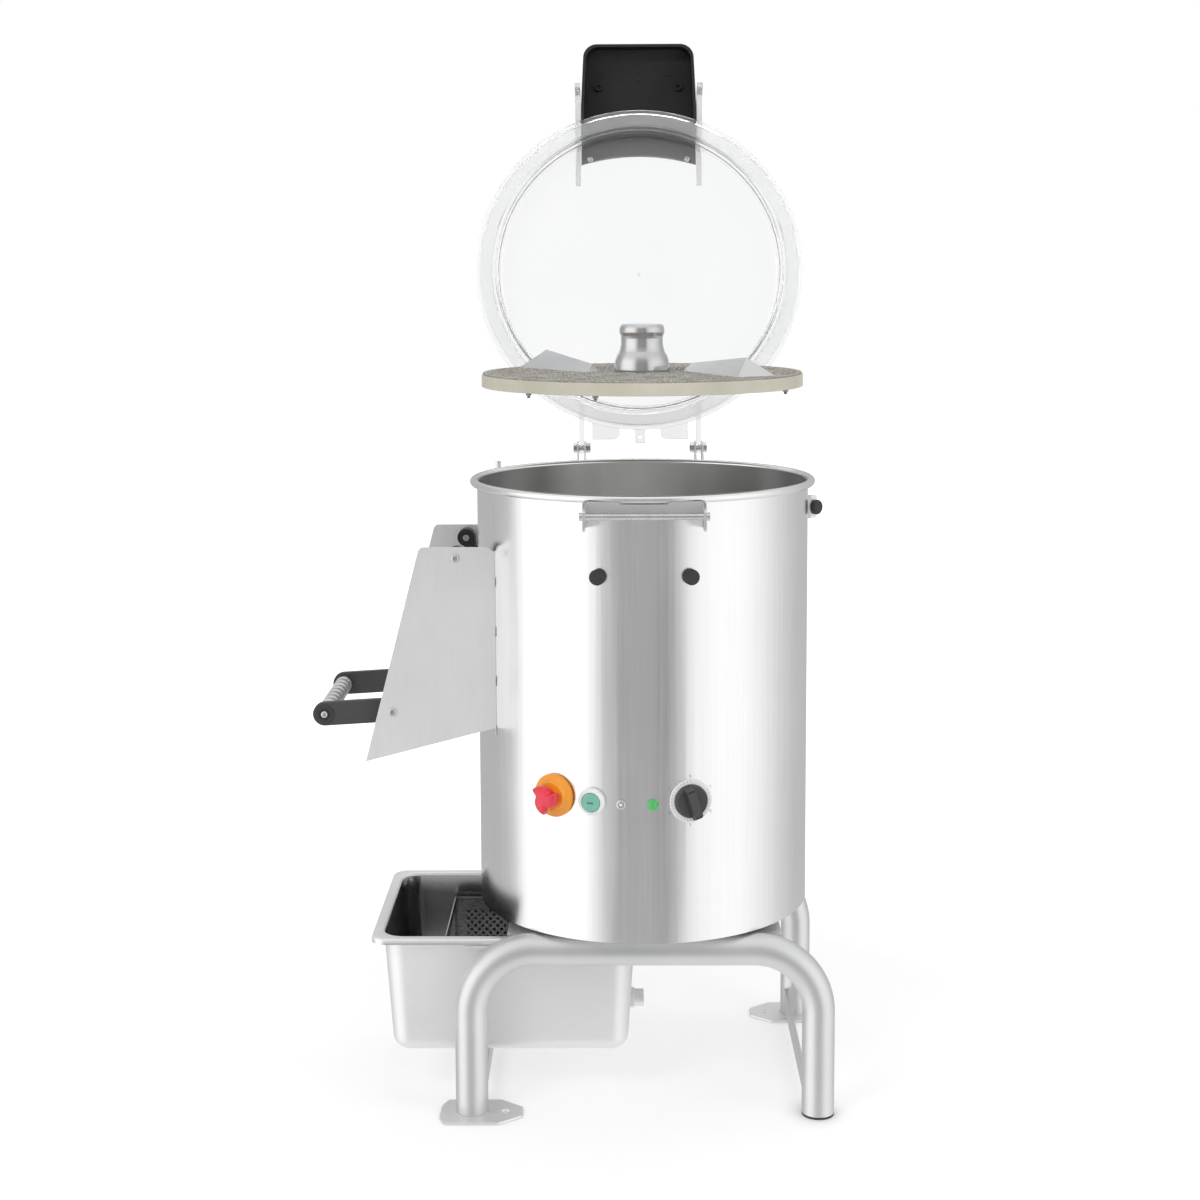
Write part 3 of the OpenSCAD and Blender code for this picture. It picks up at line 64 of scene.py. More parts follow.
# sizes that the pieces share, in metres
machine = {
    "drumRadius": 0.2, "controlHeight": 0.387,
    "controlAngles": (-30.8, -17.2, -7.7, 2.6, 15.0), "controlRise": (0.002, 0.0, -0.002, -0.002, 0.001),
    "hinge": (0.0, 0.243, 0.748), "lidOpen": 104.0,
    "legX": 0.203, "legY": 0.154, "tubeRadius": 0.019,
}


# ---- camera, lamps and stage

view = {
    "place": (-0.0267, -2.3813, 1.0034), "lens": 59.279, "shiftY": -0.105,
    "pitch": 0.11035, "yaw": -0.01026, "roll": -0.00434,
}
sides = (-1, 1)


def shift(x, y, z):
    return Matrix.Translation((x, y, z))


def turnBy(degrees, axis):
    return Matrix.Rotation(radians(degrees), 4, axis)


def addObject(name, data):
    thing = bpy.data.objects.new(name, data)
    scene.collection.objects.link(thing)
    return thing


def meshOf(name, bm):
    mesh = bpy.data.meshes.new(name)
    bm.to_mesh(mesh)
    bm.free()
    return mesh


def makeCamera():
    data = bpy.data.cameras.new("camera")
    data.lens, data.sensor_width = view["lens"], 36.0
    data.shift_y = view["shiftY"]
    data.clip_start, data.clip_end = 0.05, 60.0
    camera = addObject("camera", data)
    aim = Matrix.Rotation(-view["yaw"], 4, "Z") @ Matrix.Rotation(pi / 2 - view["pitch"], 4, "X")
    aim = aim @ Matrix.Rotation(view["roll"], 4, "Z")
    camera.matrix_world = shift(*view["place"]) @ aim
    scene.camera = camera


def colourOf(value):
    # a socket stays as it is, and a plain number is a grey
    if isinstance(value, bpy.types.NodeSocket):
        return value
    return (*value, 1.0) if isinstance(value, tuple) else (value, value, value, 1.0)


class Tree:
    def __init__(self, source):
        self.source = source

    def link(self, value, socket):
        self.source.links.new(value, socket)

    def add(self, kind, values=None, **settings):
        # a kind without its family is a shader node
        node = self.source.nodes.new(kind if "Node" in kind else "ShaderNode" + kind)
        for key, value in settings.items():
            setattr(node, key, value)
        for key, value in (values or {}).items():
            if isinstance(value, bpy.types.NodeSocket):
                self.link(value, node.inputs[key])
            else:
                node.inputs[key].default_value = value
        return node

    def out(self, kind, values=None, **settings):
        return self.add(kind, values, **settings).outputs[0]

    def math(self, operation, first, second=0.0):
        return self.out("Math", {0: first, 1: second}, operation=operation)

    def whole(self, operation, first, second):
        return self.out("FunctionNodeIntegerMath", {0: first, 1: second}, operation=operation)

    def mix(self, share, first, second, **settings):
        values = {0: share, 6: first, 7: colourOf(second)}
        return self.add("Mix", values, data_type="RGBA", **settings).outputs[2]

    def map(self, value, low, high, newLow=0.0, newHigh=1.0):
        return self.out("MapRange", {0: value, 1: low, 2: high, 3: newLow, 4: newHigh})

    def ramp(self, factor, stops):
        ramp = self.add("ValToRGB", {0: factor})
        spots = ramp.color_ramp.elements
        while len(spots) < len(stops):
            spots.new(0.5)
        for spot, (place, colour) in zip(spots, stops):
            spot.position, spot.color = place, colourOf(colour)
        return ramp.outputs[0]

    def setOut(self, points, piece, **more):
        return self.out("GeometryNodeInstanceOnPoints", {"Points": points, "Instance": piece, **more})

    def randomTriple(self, seed, low, high):
        values = {"Min": low, "Max": high, "Seed": seed}
        return self.out("FunctionNodeRandomValue", values, data_type="FLOAT_VECTOR")


studio = {
    "ambient": 0.62,  # what the room gives to matt surfaces
    "gloss": 1.55,  # strength of the brightest panel as metal sees it
    # turn from the camera side towards +X in degrees, and the panel's share of the strength
    "panels": (
        (-180, 0.34), (-118, 0.36), (-101, 0.44), (-96, 0.72), (-86, 0.95), (-48, 1.0), (-38, 0.86),
        (-31, 0.62), (-25, 0.44), (-19, 0.25), (-11, 0.31), (7, 0.31), (14, 0.23), (21, 0.26), (27, 0.62),
        (33, 0.74), (52, 0.84), (74, 0.82), (94, 0.66), (112, 0.5), (132, 0.4), (180, 0.34),
    ),
    # a bright ceiling, a soft dip at eye level and a pale floor, and where they take over from the panels
    "rise": ((0.0, 0.62), (0.3, 0.66), (0.42, 0.5), (0.52, 0.5), (0.8, 0.62), (1.0, 0.7)),
    "blend": (0.3, 0.8),
    "lamps": (
        {"name": "keyLamp", "place": (-2.2, -2.6, 2.9), "size": 1.7, "watts": 46.0},
        {"name": "fillLamp", "place": (2.7, -1.9, 2.1), "size": 1.9, "watts": 26.0},
        {"name": "topLamp", "place": (0.2, 0.5, 3.4), "size": 1.8, "watts": 24.0},
    ),
    "floorSize": 24.0, "floorGlow": 0.62, "floorFade": (0.5, 1.3), "floorTone": 0.9,
    "floorMatt": 0.42, "contactReach": 0.03, "contactRange": (0.3, 0.9), "contactShade": 0.15,
}


def startTree(owner):
    owner.use_nodes = True
    owner.node_tree.nodes.clear()
    tree = Tree(owner.node_tree)
    path = tree.add("LightPath").outputs
    return tree, path["Is Glossy Ray"], tree.math("MAXIMUM", path["Is Camera Ray"], path["Is Transmission Ray"])


def makeWorld():
    world = bpy.data.worlds.new("studioRoom")
    scene.world = world
    tree, glossy, seen = startTree(world)
    heading = tree.add("TexCoord").outputs["Generated"]
    parts = tree.add("SeparateXYZ", {0: heading}).outputs
    turn = tree.math("ARCTAN2", parts["X"], tree.math("MULTIPLY", parts["Y"], -1.0))
    share = tree.map(turn, -pi, pi)
    bands = tree.ramp(share, [((a + 180) / 360, level) for a, level in studio["panels"]])
    height = tree.map(parts["Z"], -1.0, 1.0)
    rise = tree.ramp(height, studio["rise"])
    merge = tree.map(tree.math("ABSOLUTE", parts["Z"]), *studio["blend"])
    gloss = tree.out("Background", {0: tree.mix(merge, bands, rise), 1: studio["gloss"]})
    plain = tree.out("Background", {0: colourOf(1.0), 1: studio["ambient"]})
    bright = tree.out("Background", {0: colourOf(1.0), 1: 1.0})
    first = tree.out("MixShader", {0: glossy, 1: plain, 2: gloss})
    last = tree.out("MixShader", {0: seen, 1: first, 2: bright})
    tree.add("OutputWorld", {0: last})


def makeLamps():
    for lamp in studio["lamps"]:
        data = bpy.data.lights.new(lamp["name"], "AREA")
        data.shape, data.size, data.energy = "DISK", lamp["size"], lamp["watts"]
        thing = addObject(lamp["name"], data)
        away = Vector(lamp["place"]) - Vector((0.0, 0.0, 0.6))
        thing.matrix_world = shift(*lamp["place"]) @ away.to_track_quat("Z", "Y").to_matrix().to_4x4()
        thing.visible_glossy = False


def makeFloor():
    bm = bmesh.new()
    bmesh.ops.create_grid(bm, x_segments=1, y_segments=1, size=studio["floorSize"] / 2)
    floor = addObject("floor", meshOf("floor", bm))
    mat = bpy.data.materials.new("studioFloor")
    tree, glossy, seen = startTree(mat)
    matt, dim = (tree.out("BsdfDiffuse", {0: colourOf(studio[tone])})
                 for tone in ("floorTone", "floorMatt"))
    where = tree.add("TexCoord").outputs["Object"]
    away = tree.add("VectorMath", {0: where}, operation="LENGTH").outputs["Value"]
    fade = tree.map(away, *studio["floorFade"], studio["floorGlow"], 1.0)
    # the glow is dimmed by ambient occlusion where parts stand close: a painted shadow round the feet, under the
    # machine and in the bolt holes
    hidden = tree.add("AmbientOcclusion", {"Distance": studio["contactReach"]}, samples=6)
    contact = tree.map(hidden.outputs["AO"], *studio["contactRange"], studio["contactShade"], 1.0)
    glow = tree.out("Emission", {0: colourOf(1.0), 1: tree.math("MULTIPLY", fade, contact)})
    lit = tree.out("AddShader", {0: glow, 1: dim})
    shown = tree.out("MixShader", {0: seen, 1: matt, 2: lit})
    clear = tree.out("BsdfTransparent")
    # metal sees the room's panels through the floor, so its bands run down to the ground
    whole = tree.out("MixShader", {0: glossy, 1: shown, 2: clear})
    tree.add("OutputMaterial", {0: whole})
    floor.data.materials.append(mat)


scene.view_settings.view_transform = "Standard"
makeCamera()
makeWorld()
makeLamps()
makeFloor()
print("camera, lamps and floor made")


# ---- materials

def makeMaterial(name, look):
    mat = bpy.data.materials.new(name)
    mat.use_nodes = True
    tree = Tree(mat.node_tree)
    shader = mat.node_tree.nodes["Principled BSDF"].inputs
    where = tree.add("TexCoord").outputs["Object"]
    stretch = tree.out("Mapping", {0: where, "Scale": look.get("stretch", (1.0, 1.0, 1.0))})
    grain = tree.out("TexNoise", {
        "Vector": stretch, "Scale": look["grain"], "Detail": look.get("detail", 4.0), "Roughness": 0.6,
    })
    cloud = tree.out("TexNoise", {
        "Vector": where, "Scale": look.get("cloud", 9.0), "Detail": 3.0, "Roughness": 0.55,
    })
    dark, light = look["colours"]
    tint = tree.ramp(cloud, [(0.3, dark), (0.7, light)])
    if "streak" in look:
        lines = tree.ramp(grain, [(0.3, 1.0 - look["streak"]), (0.7, 1.0)])
        tint = tree.mix(1.0, tint, lines, blend_type="MULTIPLY")
    if "cells" in look:
        size, share, colour = look["cells"]
        cell = tree.add("TexVoronoi", {"Vector": where, "Scale": size}).outputs["Distance"]
        spots = tree.ramp(cell, [(share * 0.6, 1.0), (share, 0.0)])
        tint = tree.mix(spots, tint, colour)
        grain = tree.math("ADD", grain, tree.math("MULTIPLY", spots, look["cellHeight"]))
    if "wear" in look:
        edge = tree.add("NewGeometry").outputs["Pointiness"]
        worn = tree.ramp(edge, [(0.52, 0.0), (0.62, look["wear"])])
        tint = tree.mix(worn, tint, look["worn"])
    both = tree.math("ADD", tree.math("MULTIPLY", grain, 0.5), tree.math("MULTIPLY", cloud, 0.5))
    rough = tree.map(both, 0.3, 0.7, *look["rough"])
    bump = tree.out("Bump", {
        "Strength": look["bump"], "Distance": look.get("depth", 0.0004), "Height": grain,
    })
    tree.link(bump, shader["Normal"])
    if "turned" in look:
        shader["Anisotropic"].default_value = look["turned"]
        turn = tree.out("Tangent", direction_type="RADIAL", axis="Z")
        tree.link(turn, shader["Tangent"])
    for key, value in look.get("set", {}).items():
        shader[key].default_value = value
    if "hazy" in look:
        # the moulded edge and the arms are thicker, and there they are tinted grey and made less clear: a painted
        # shade
        share = tree.add("Attribute", attribute_name="hazy").outputs["Fac"]
        clear, colour = look["hazy"]
        tint = tree.mix(share, tint, colour)
        through = shader["Transmission Weight"]
        tree.link(tree.map(share, 0.0, 1.0, through.default_value, clear), through)
    if "second" in look:
        # a piece can carry a second finish with its own roughness and a darker colour, such as a pan's smoother
        # inside or a grip's grooves; the darker colour is painted shade
        share = tree.add("Attribute", attribute_name="second").outputs["Fac"]
        otherRough, grey = look["second"]
        rough = tree.out("Mix", {0: share, 2: rough, 3: otherRough})
        tint = tree.mix(share, tint, grey)
        bare = shader["Metallic"]
        tree.link(tree.map(share, 0.0, 1.0, bare.default_value, 1.0), bare)
    if "inside" in look:
        # the wall's inner side is dull, and its colour carries painted reflection bands and painted shade that
        # darkens it towards the left and right
        radius, dull, colour = look["inside"]
        flat = tree.out("VectorMath", {0: where, 1: (1.0, 1.0, 0.0)}, operation="MULTIPLY")
        away = tree.add("VectorMath", {0: flat}, operation="LENGTH").outputs["Value"]
        inner = tree.math("LESS_THAN", away, radius)
        bands = tree.out("TexNoise", {"Vector": flat, "Scale": 7.0, "Detail": 2.0})
        across = tree.out("SeparateXYZ", {0: where})
        side = tree.math("DIVIDE", tree.math("ABSOLUTE", across), radius)
        bands = tree.math("SUBTRACT", tree.math("ADD", bands, 0.28), tree.math("MULTIPLY", side, 0.5))
        paintedInnerShade = tree.ramp(bands, [(0.32, tuple(0.42 * c for c in colour)), (0.66, colour)])
        tint = tree.mix(inner, tint, paintedInnerShade)
        tree.link(tree.map(inner, 0.0, 1.0, 1.0, dull), shader["Metallic"])
    tree.link(tint, shader["Base Color"])
    tree.link(rough, shader["Roughness"])
    return mat


# what most bare metals share
steel = {"bump": 0.05, "depth": 0.0002, "set": {"Metallic": 1}}
looks = {
    # drum_steel's inner wall gets painted reflection bands and painted shade
    "drum_steel": dict(steel, colours=((0.78, 0.78, 0.785), 0.82), grain=240, stretch=(1, 1, 0.02),
        rough=(0.16, 0.25), streak=0.05, cloud=5, turned=0.35, inside=(0.1992, 0.6, (0.96, 0.96, 0.96))),
    "steel_sheet": dict(colours=((0.83, 0.83, 0.832), 0.88), grain=300, stretch=(1, 1, 0.05), rough=(0.42, 0.52),
        bump=0.05, depth=0.0002, streak=0.03, cloud=7, set={"Metallic": 0.8}),
    "satin_tube": dict(colours=((0.66, 0.665, 0.67), (0.72, 0.72, 0.725)), grain=380, rough=(0.36, 0.46), bump=0.05,
        depth=0.0002, cloud=12, set={"Metallic": 0.9}),
    # pan_steel's second finish is smoother and darker; the darkening is painted shade
    "pan_steel": dict(colours=(0.84, 0.89), grain=420, stretch=(0.15, 1, 1), rough=(0.4, 0.5), bump=0.03,
        depth=0.0002, streak=0.02, cloud=6, set={"Metallic": 0.75}, second=(0.16, 0.72)),
    "bolt_steel": dict(steel, colours=((0.55, 0.56, 0.57), (0.7, 0.7, 0.71)), grain=500, rough=(0.18, 0.34),
        cloud=60),
    "shaft_steel": dict(steel, colours=((0.58, 0.59, 0.6), (0.66, 0.66, 0.67)), grain=900, stretch=(0.05, 0.05, 1),
        rough=(0.16, 0.3), turned=0.4),
    "hub_aluminium": dict(steel, colours=((0.52, 0.525, 0.53), (0.6, 0.6, 0.605)), grain=900,
        stretch=(0.04, 0.04, 1), rough=(0.15, 0.23), bump=0.04, streak=0.06, turned=0.4),
    "dial_silver": dict(colours=((0.82, 0.82, 0.815), 0.88), grain=600, rough=(0.34, 0.44), bump=0.03, cloud=40),
    "cast_grey": dict(colours=((0.2, 0.21, 0.22), (0.27, 0.28, 0.29)), grain=260, rough=(0.45, 0.65), bump=0.3,
        depth=0.0006, wear=0.6, worn=0.42),
    "motor_paint": dict(colours=((0.05, 0.06, 0.08), (0.08, 0.09, 0.11)), grain=180, rough=(0.32, 0.5), bump=0.2,
        depth=0.0005, wear=0.5, worn=0.3),
    "black_rubber": dict(colours=((0.016, 0.016, 0.017), (0.034, 0.034, 0.036)), grain=700, rough=(0.55, 0.75),
        bump=0.2, depth=0.0003, wear=0.5, worn=0.09),
    "black_plastic": dict(colours=((0.01, 0.01, 0.011), (0.02, 0.02, 0.022)), grain=1100, rough=(0.34, 0.5),
        bump=0.14, depth=0.0002, wear=0.35, worn=(0.07, 0.07, 0.075), set={"Specular IOR Level": 0.3}),
    "grey_plastic": dict(colours=((0.045, 0.045, 0.047), (0.066, 0.066, 0.069)), grain=900, rough=(0.4, 0.55),
        bump=0.1, depth=0.0002),
    "cream_disc": dict(colours=((0.51, 0.485, 0.395), (0.61, 0.585, 0.495)), grain=420, rough=(0.45, 0.62),
        bump=0.18, depth=0.0004, cloud=16, cells=(260, 0.16, (0.42, 0.38, 0.3)), cellHeight=-0.4),
    "grit": dict(colours=((0.25, 0.235, 0.21), (0.42, 0.4, 0.365)), grain=520, detail=8, rough=(0.7, 0.95),
        bump=0.9, depth=0.0012, cloud=30, cells=(330, 0.36, (0.66, 0.64, 0.6)), cellHeight=1),
    # grip_ribbed's second finish paints shade into the grooves
    "grip_ribbed": dict(colours=((0.62, 0.62, 0.615), (0.76, 0.76, 0.75)), grain=500, rough=(0.28, 0.44), bump=0.08,
        cloud=30, set={"Metallic": 0.55}, second=(0.7, 0.08)),
    "yellow_plastic": dict(colours=((0.86, 0.29, 0.012), (0.92, 0.36, 0.02)), grain=300, rough=(0.3, 0.42),
        bump=0.05, cloud=40, set={"Coat Weight": 0.35, "Coat Roughness": 0.2}),
    "red_plastic": dict(colours=((0.72, 0.015, 0.045), (0.84, 0.03, 0.075)), grain=260, rough=(0.3, 0.42),
        bump=0.05, cloud=60, set={"Coat Weight": 0.4, "Coat Roughness": 0.2, "Subsurface Weight": 0.1}),
    "white_plastic": dict(colours=((0.8, 0.81, 0.8), (0.88, 0.88, 0.87)), grain=400, rough=(0.25, 0.36), bump=0.04,
        cloud=50, set={"Coat Weight": 0.3}),
    "teal_plastic": dict(colours=((0.15, 0.44, 0.35), (0.22, 0.53, 0.43)), grain=420, rough=(0.28, 0.4), bump=0.05,
        cloud=60, set={"Coat Weight": 0.3, "Subsurface Weight": 0.15}),
    "lamp_green": dict(colours=((0.03, 0.4, 0.07), (0.07, 0.54, 0.13)), grain=420, rough=(0.12, 0.24), bump=0.05,
        cells=(700, 0.35, (0.16, 0.68, 0.22)), cellHeight=0.6, set={"Coat Weight": 0.5, "Subsurface Weight": 0.2}),
    # clear_plastic's grey tint on the flange and arms is painted shade
    "clear_plastic": dict(colours=((0.955, 0.965, 0.97), (0.985, 0.99, 0.99)), grain=40, rough=(0.015, 0.06),
        bump=0.02, depth=0.0005, cloud=4, set={"Transmission Weight": 0.92, "IOR": 1.45},
        hazy=(0.66, (0.93, 0.935, 0.94))),
}
materials = {slot: makeMaterial(slot, look) for slot, look in looks.items()}
for name, thing in nodes.items():
    finish = materials[slotOf[name]]
    if thing.material_slots:
        for place in thing.material_slots:
            place.material = finish
    else:
        thing.data.materials.append(finish)
print("materials made:", len(materials))


# ---- helpers for pieces

def makeObject(name, mesh, slot, body, replaced=(), sharp=38.0, place=None):
    if place is not None:
        mesh.transform(place)
    thing = addObject(name, mesh)
    mesh.materials.clear()
    mesh.materials.append(materials[slot])
    for face in mesh.polygons:
        face.material_index = 0
    if sharp is not None:
        mesh.shade_smooth()
        mesh.set_sharp_from_angle(angle=radians(sharp))
    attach(thing, body)
    if replaced:
        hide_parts(*replaced)
    return thing


def addShare(thing, name, shares):
    values = thing.data.attributes.new(name, "FLOAT", "POINT")
    values.data.foreach_set("value", shares)


def evaluated(thing):
    graph = bpy.context.evaluated_depsgraph_get()
    graph.update()
    mesh = bpy.data.meshes.new_from_object(thing.evaluated_get(graph), depsgraph=graph)
    mesh.name = thing.name
    old = thing.data
    bpy.data.objects.remove(thing)
    if old.users == 0:
        bpy.data.batch_remove([old])
    return mesh


def roundEdges(name, width, slot=None):
    bm = bmesh.new()
    bm.from_mesh(nodes[name].data)
    bmesh.ops.remove_doubles(bm, verts=bm.verts, dist=0.000004)
    bmesh.ops.dissolve_limit(bm, angle_limit=radians(0.6), verts=bm.verts, edges=bm.edges)
    mesh = meshOf(name + "Soft", bm)
    if "custom_normal" in mesh.attributes:
        mesh.attributes.remove(mesh.attributes["custom_normal"])
    mesh.shade_smooth()
    thing = addObject(name + "Round", mesh)
    bevel = thing.modifiers.new("bevel", "BEVEL")
    bevel.width, bevel.segments = width, 2
    bevel.limit_method, bevel.angle_limit = "ANGLE", radians(35)
    bevel.use_clamp_overlap = True
    thing.modifiers.new("flat", "WEIGHTED_NORMAL").weight = 90
    return makeObject(name + "Round", evaluated(thing), slot or slotOf[name], bodyOf[name], [name], None)


def newTree(name, *inputs):
    source = bpy.data.node_groups.new(name, "GeometryNodeTree")
    for label, kind, value in (*inputs, ("Material", "Material", None)):
        item = source.interface.new_socket(name=label, in_out="INPUT", socket_type="NodeSocket" + kind)
        if value is not None:
            item.default_value = value
    source.interface.new_socket(name="Geometry", in_out="OUTPUT", socket_type="NodeSocketGeometry")
    tree = Tree(source)
    return tree, tree.add("NodeGroupInput").outputs


def endTree(tree, geometry, given):
    real = tree.out("GeometryNodeRealizeInstances", {0: geometry})
    dressed = tree.out("GeometryNodeSetMaterial", {"Geometry": real, "Material": given["Material"]})
    tree.add("NodeGroupOutput", {0: dressed})
    return tree.source


def grow(name, tree, slot, values, base=None):
    values = dict(values, Material=materials[slot])
    thing = addObject(name, base or bpy.data.meshes.new(name))
    modifier = thing.modifiers.new("nodes", "NODES")
    modifier.node_group = tree
    for item in tree.interface.items_tree:
        if item.in_out == "INPUT" and item.name in values:
            modifier[item.identifier] = values[item.name]
    return evaluated(thing)


def meshFrom(name, points, edges=(), faces=()):
    mesh = bpy.data.meshes.new(name)
    mesh.from_pydata(points, edges, faces)
    return mesh


def onControl(i, out=0.0):
    place = shift(0.0, -machine["drumRadius"], machine["controlHeight"] + machine["controlRise"][i])
    return turnBy(machine["controlAngles"][i], "Z") @ place @ turnBy(90, "X") @ shift(0.0, 0.0, out)


def tidyNormals(mesh, join=0.00001):
    bm = bmesh.new()
    bm.from_mesh(mesh)
    bmesh.ops.remove_doubles(bm, verts=bm.verts, dist=join)
    bmesh.ops.recalc_face_normals(bm, faces=bm.faces)
    bm.to_mesh(mesh)
    bm.free()
    return mesh


def ringOf(reaches, z, middle=(0.0, 0.0)):
    turns = [2 * pi * i / len(reaches) for i in range(len(reaches))]
    return [(middle[0] + r * cos(a), middle[1] + r * sin(a), z) for r, a in zip(reaches, turns)]


hingeSpot = shift(*machine["hinge"])
openLid = hingeSpot @ turnBy(-machine["lidOpen"], "X") @ hingeSpot.inverted()


# ---- revolved pieces: a profile of radius and height is turned about Z

def buildRevolve():
    tree, given = newTree("revolve", ("Profile", "Geometry", None), ("Segments", "Int", 96), ("Rows", "Int", 2))
    rows = given["Rows"]
    around = tree.whole("ADD", given["Segments"], 1)
    sheet = tree.out("GeometryNodeMeshGrid", {"Vertices X": around, "Vertices Y": rows})
    index = tree.out("GeometryNodeInputIndex")
    row, column = (tree.whole(operation, index, rows) for operation in ("MODULO", "DIVIDE_FLOOR"))
    sample = tree.add("GeometryNodeSampleIndex", data_type="FLOAT_VECTOR")
    spot = tree.out("GeometryNodeInputPosition")
    for socket, source in (("Geometry", given["Profile"]), ("Value", spot), ("Index", row)):
        tree.link(source, sample.inputs[socket])
    angle = tree.math("MULTIPLY", column, tree.math("DIVIDE", 2 * pi, given["Segments"]))
    turn = {"Vector": sample.outputs[0], "Angle": angle}
    turned = tree.out("VectorRotate", turn, rotation_type="Z_AXIS")
    moved = tree.out("GeometryNodeSetPosition", {"Geometry": sheet, "Position": turned})
    joined = tree.out("GeometryNodeMergeByDistance", {"Geometry": moved, "Distance": 0.000002})
    return endTree(tree, joined, given)


revolveTree = buildRevolve()


def revolve(name, profile, slot, body, place, segments=96, replaced=(), sharp=38.0):
    points = [(r, 0.0, z) for r, z in profile]
    base = meshFrom(name, points, [(i, i + 1) for i in range(len(points) - 1)])
    mesh = grow(name, revolveTree, slot, {"Segments": segments, "Rows": len(points)}, base)
    mesh.transform(place)
    return makeObject(name, tidyNormals(mesh), slot, body, replaced, sharp)


def arcPoints(centre, radius, start, end, steps):
    spots = [radians(start + (end - start) * i / steps) for i in range(steps + 1)]
    return [(centre[0] + radius * cos(a), centre[1] + radius * sin(a)) for a in spots]


lid = {
    "flangeRadius": 0.22, "wallRadius": 0.192, "wall": 0.004, "low": 0.738, "top": 0.742,
    "shoulder": 0.766, "crown": 0.012, "lip": 0.008, "fillet": 0.008, "segments": 160,
}


def lidProfile():
    edge, side, low, top = lid["flangeRadius"], lid["wallRadius"], lid["low"], lid["top"]
    flat = side - lid["fillet"]
    thin = lid["fillet"] - lid["wall"]
    centre = (flat, lid["shoulder"] - lid["fillet"])

    def crownAt(r):
        return lid["shoulder"] + lid["crown"] * (1 - (r / flat) ** 2)

    outside = [(r * flat / 24, crownAt(r * flat / 24)) for r in range(25)]
    outside += arcPoints(centre, lid["fillet"], 72, 0, 8)
    outside += arcPoints((side + 0.0035, top + 0.0045), 0.0035, 180, 270, 5)
    outside += [(side + out, top + up) for out, up in ((0.0065, 0.001), (0.0075, 0.0))]
    outside += [(edge - out, top + up) for out, up in (
        (0.0075, 0.0), (0.0065, -0.0007), (0.0055, 0.0), (0.0042, 0.0012), (0.0012, 0.0012),
    )]
    outside += arcPoints((edge - 0.0012, top), 0.0012, 90, 0, 3)
    outside += arcPoints((edge - 0.001, low + 0.001), 0.001, 0, -90, 3)
    lip = lid["lip"]
    outside += [(side + out, low - down) for out, down in (
        (0.003, 0.0), (0.002, 0.001), (0.002, lip - 0.0006), (0.0014, lip), (-0.0004, lip),
        (-0.001, lip - 0.0006), (-0.001, 0.001), (-lid["wall"], -0.003),
    )]
    inside = arcPoints(centre, thin, 0, 72, 8)
    inside += [(r * flat / 24, crownAt(r * flat / 24) - lid["wall"]) for r in range(24, -1, -1)]
    return outside + inside


def flangeShare(point):
    closed = openLid.inverted() @ point
    reach = hypot(closed.x, closed.y)
    inner, outer = lid["wallRadius"] + 0.006, lid["flangeRadius"] - 0.005
    return 1.0 if inner < reach < outer else 0.0


dome = revolve("lidDome", lidProfile(), "clear_plastic", "lid", openLid, lid["segments"], ["lid_dome"], 30.0)
# the flange carries the grey tint, a painted shade
addShare(dome, "hazy", [flangeShare(v.co) for v in dome.data.vertices])
gate = [(0.0, 0.7788), (0.0016, 0.7788), (0.0022, 0.7783), (0.0022, 0.7776), (0.0, 0.7776)]
revolve("lidGateMark", gate, "clear_plastic", "lid", openLid, 20)
print("lid made")

# radius and height from the drum's wall outwards
lamps = {
    "ring": [(0.0, 0.0022), (0.0026, 0.0022), (0.003, 0.004), (0.0042, 0.004), (0.005, 0.0034),
             (0.0055, 0.0022), (0.0055, 0.0), (0.0029, 0.0), (0.0029, -0.008), (0.0, -0.008)],
    "pin": [(0.0, 0.0036), (0.0012, 0.0034), (0.0021, 0.0026), (0.0022, 0.0018), (0.0, 0.0018)],
    "green": [(0.0, 0.006), (0.002, 0.0058), (0.0038, 0.0051), (0.0048, 0.0042), (0.0058, 0.0034),
              (0.0063, 0.003), (0.0065, 0.0024), (0.0065, 0.0), (0.0039, 0.0), (0.0039, -0.01), (0.0, -0.01)],
}
revolve("resetRing", lamps["ring"], "bolt_steel", "main", onControl(2), 40, ["indicator_lamps"])
revolve("resetPin", lamps["pin"], "white_plastic", "main", onControl(2), 32)
revolve("greenLamp", lamps["green"], "lamp_green", "main", onControl(3), 48)
print("lamps made")


# ---- edges that catch the light: copies of the solids with small rounds

rounds = {
    "lid_handle": 0.0022, "lid_catch_arms": 0.0009, "lid_hinge_arms": 0.0006, "lever_arms": 0.0008,
    "estop_base": 0.0006, "start_bezel": 0.0005, "start_button": 0.0005, "timer_knob": 0.0007,
    "timer_dial": 0.0003, "front_bumpers": 0.0012, "side_bumper": 0.0012, "foot_caps": 0.0008,
    "foot_plates": 0.0006, "side_rails": 0.0006, "latch_bracket": 0.0004, "hinge_brackets": 0.0004,
    "rim_brackets": 0.0004, "disc_plate": 0.0008, "disc_paddles": 0.0003, "chute_sides": 0.0004,
    "door_arms": 0.0008, "hinge_bolts": 0.0004, "pan_drain": 0.0005, "cable_gland": 0.0006,
}
# the lever arms are black plastic; the lighter grey finish they get here is painted light
otherSlots = {
    "timer_knob": "grey_plastic", "lever_arms": "grey_plastic", "disc_paddles": "shaft_steel",
    "latch_bracket": "satin_tube", "pan_drain": "steel_sheet",
}
for name, width in rounds.items():
    copy = roundEdges(name, width, otherSlots.get(name))
    if name == "lid_catch_arms":
        # the catch arms carry the same grey tint, a painted shade
        addShare(copy, "hazy", [1.0] * len(copy.data.vertices))
print("edges rounded on", len(rounds), "pieces")


# ---- the peel pan: one sheet, drawn down from a rolled rim

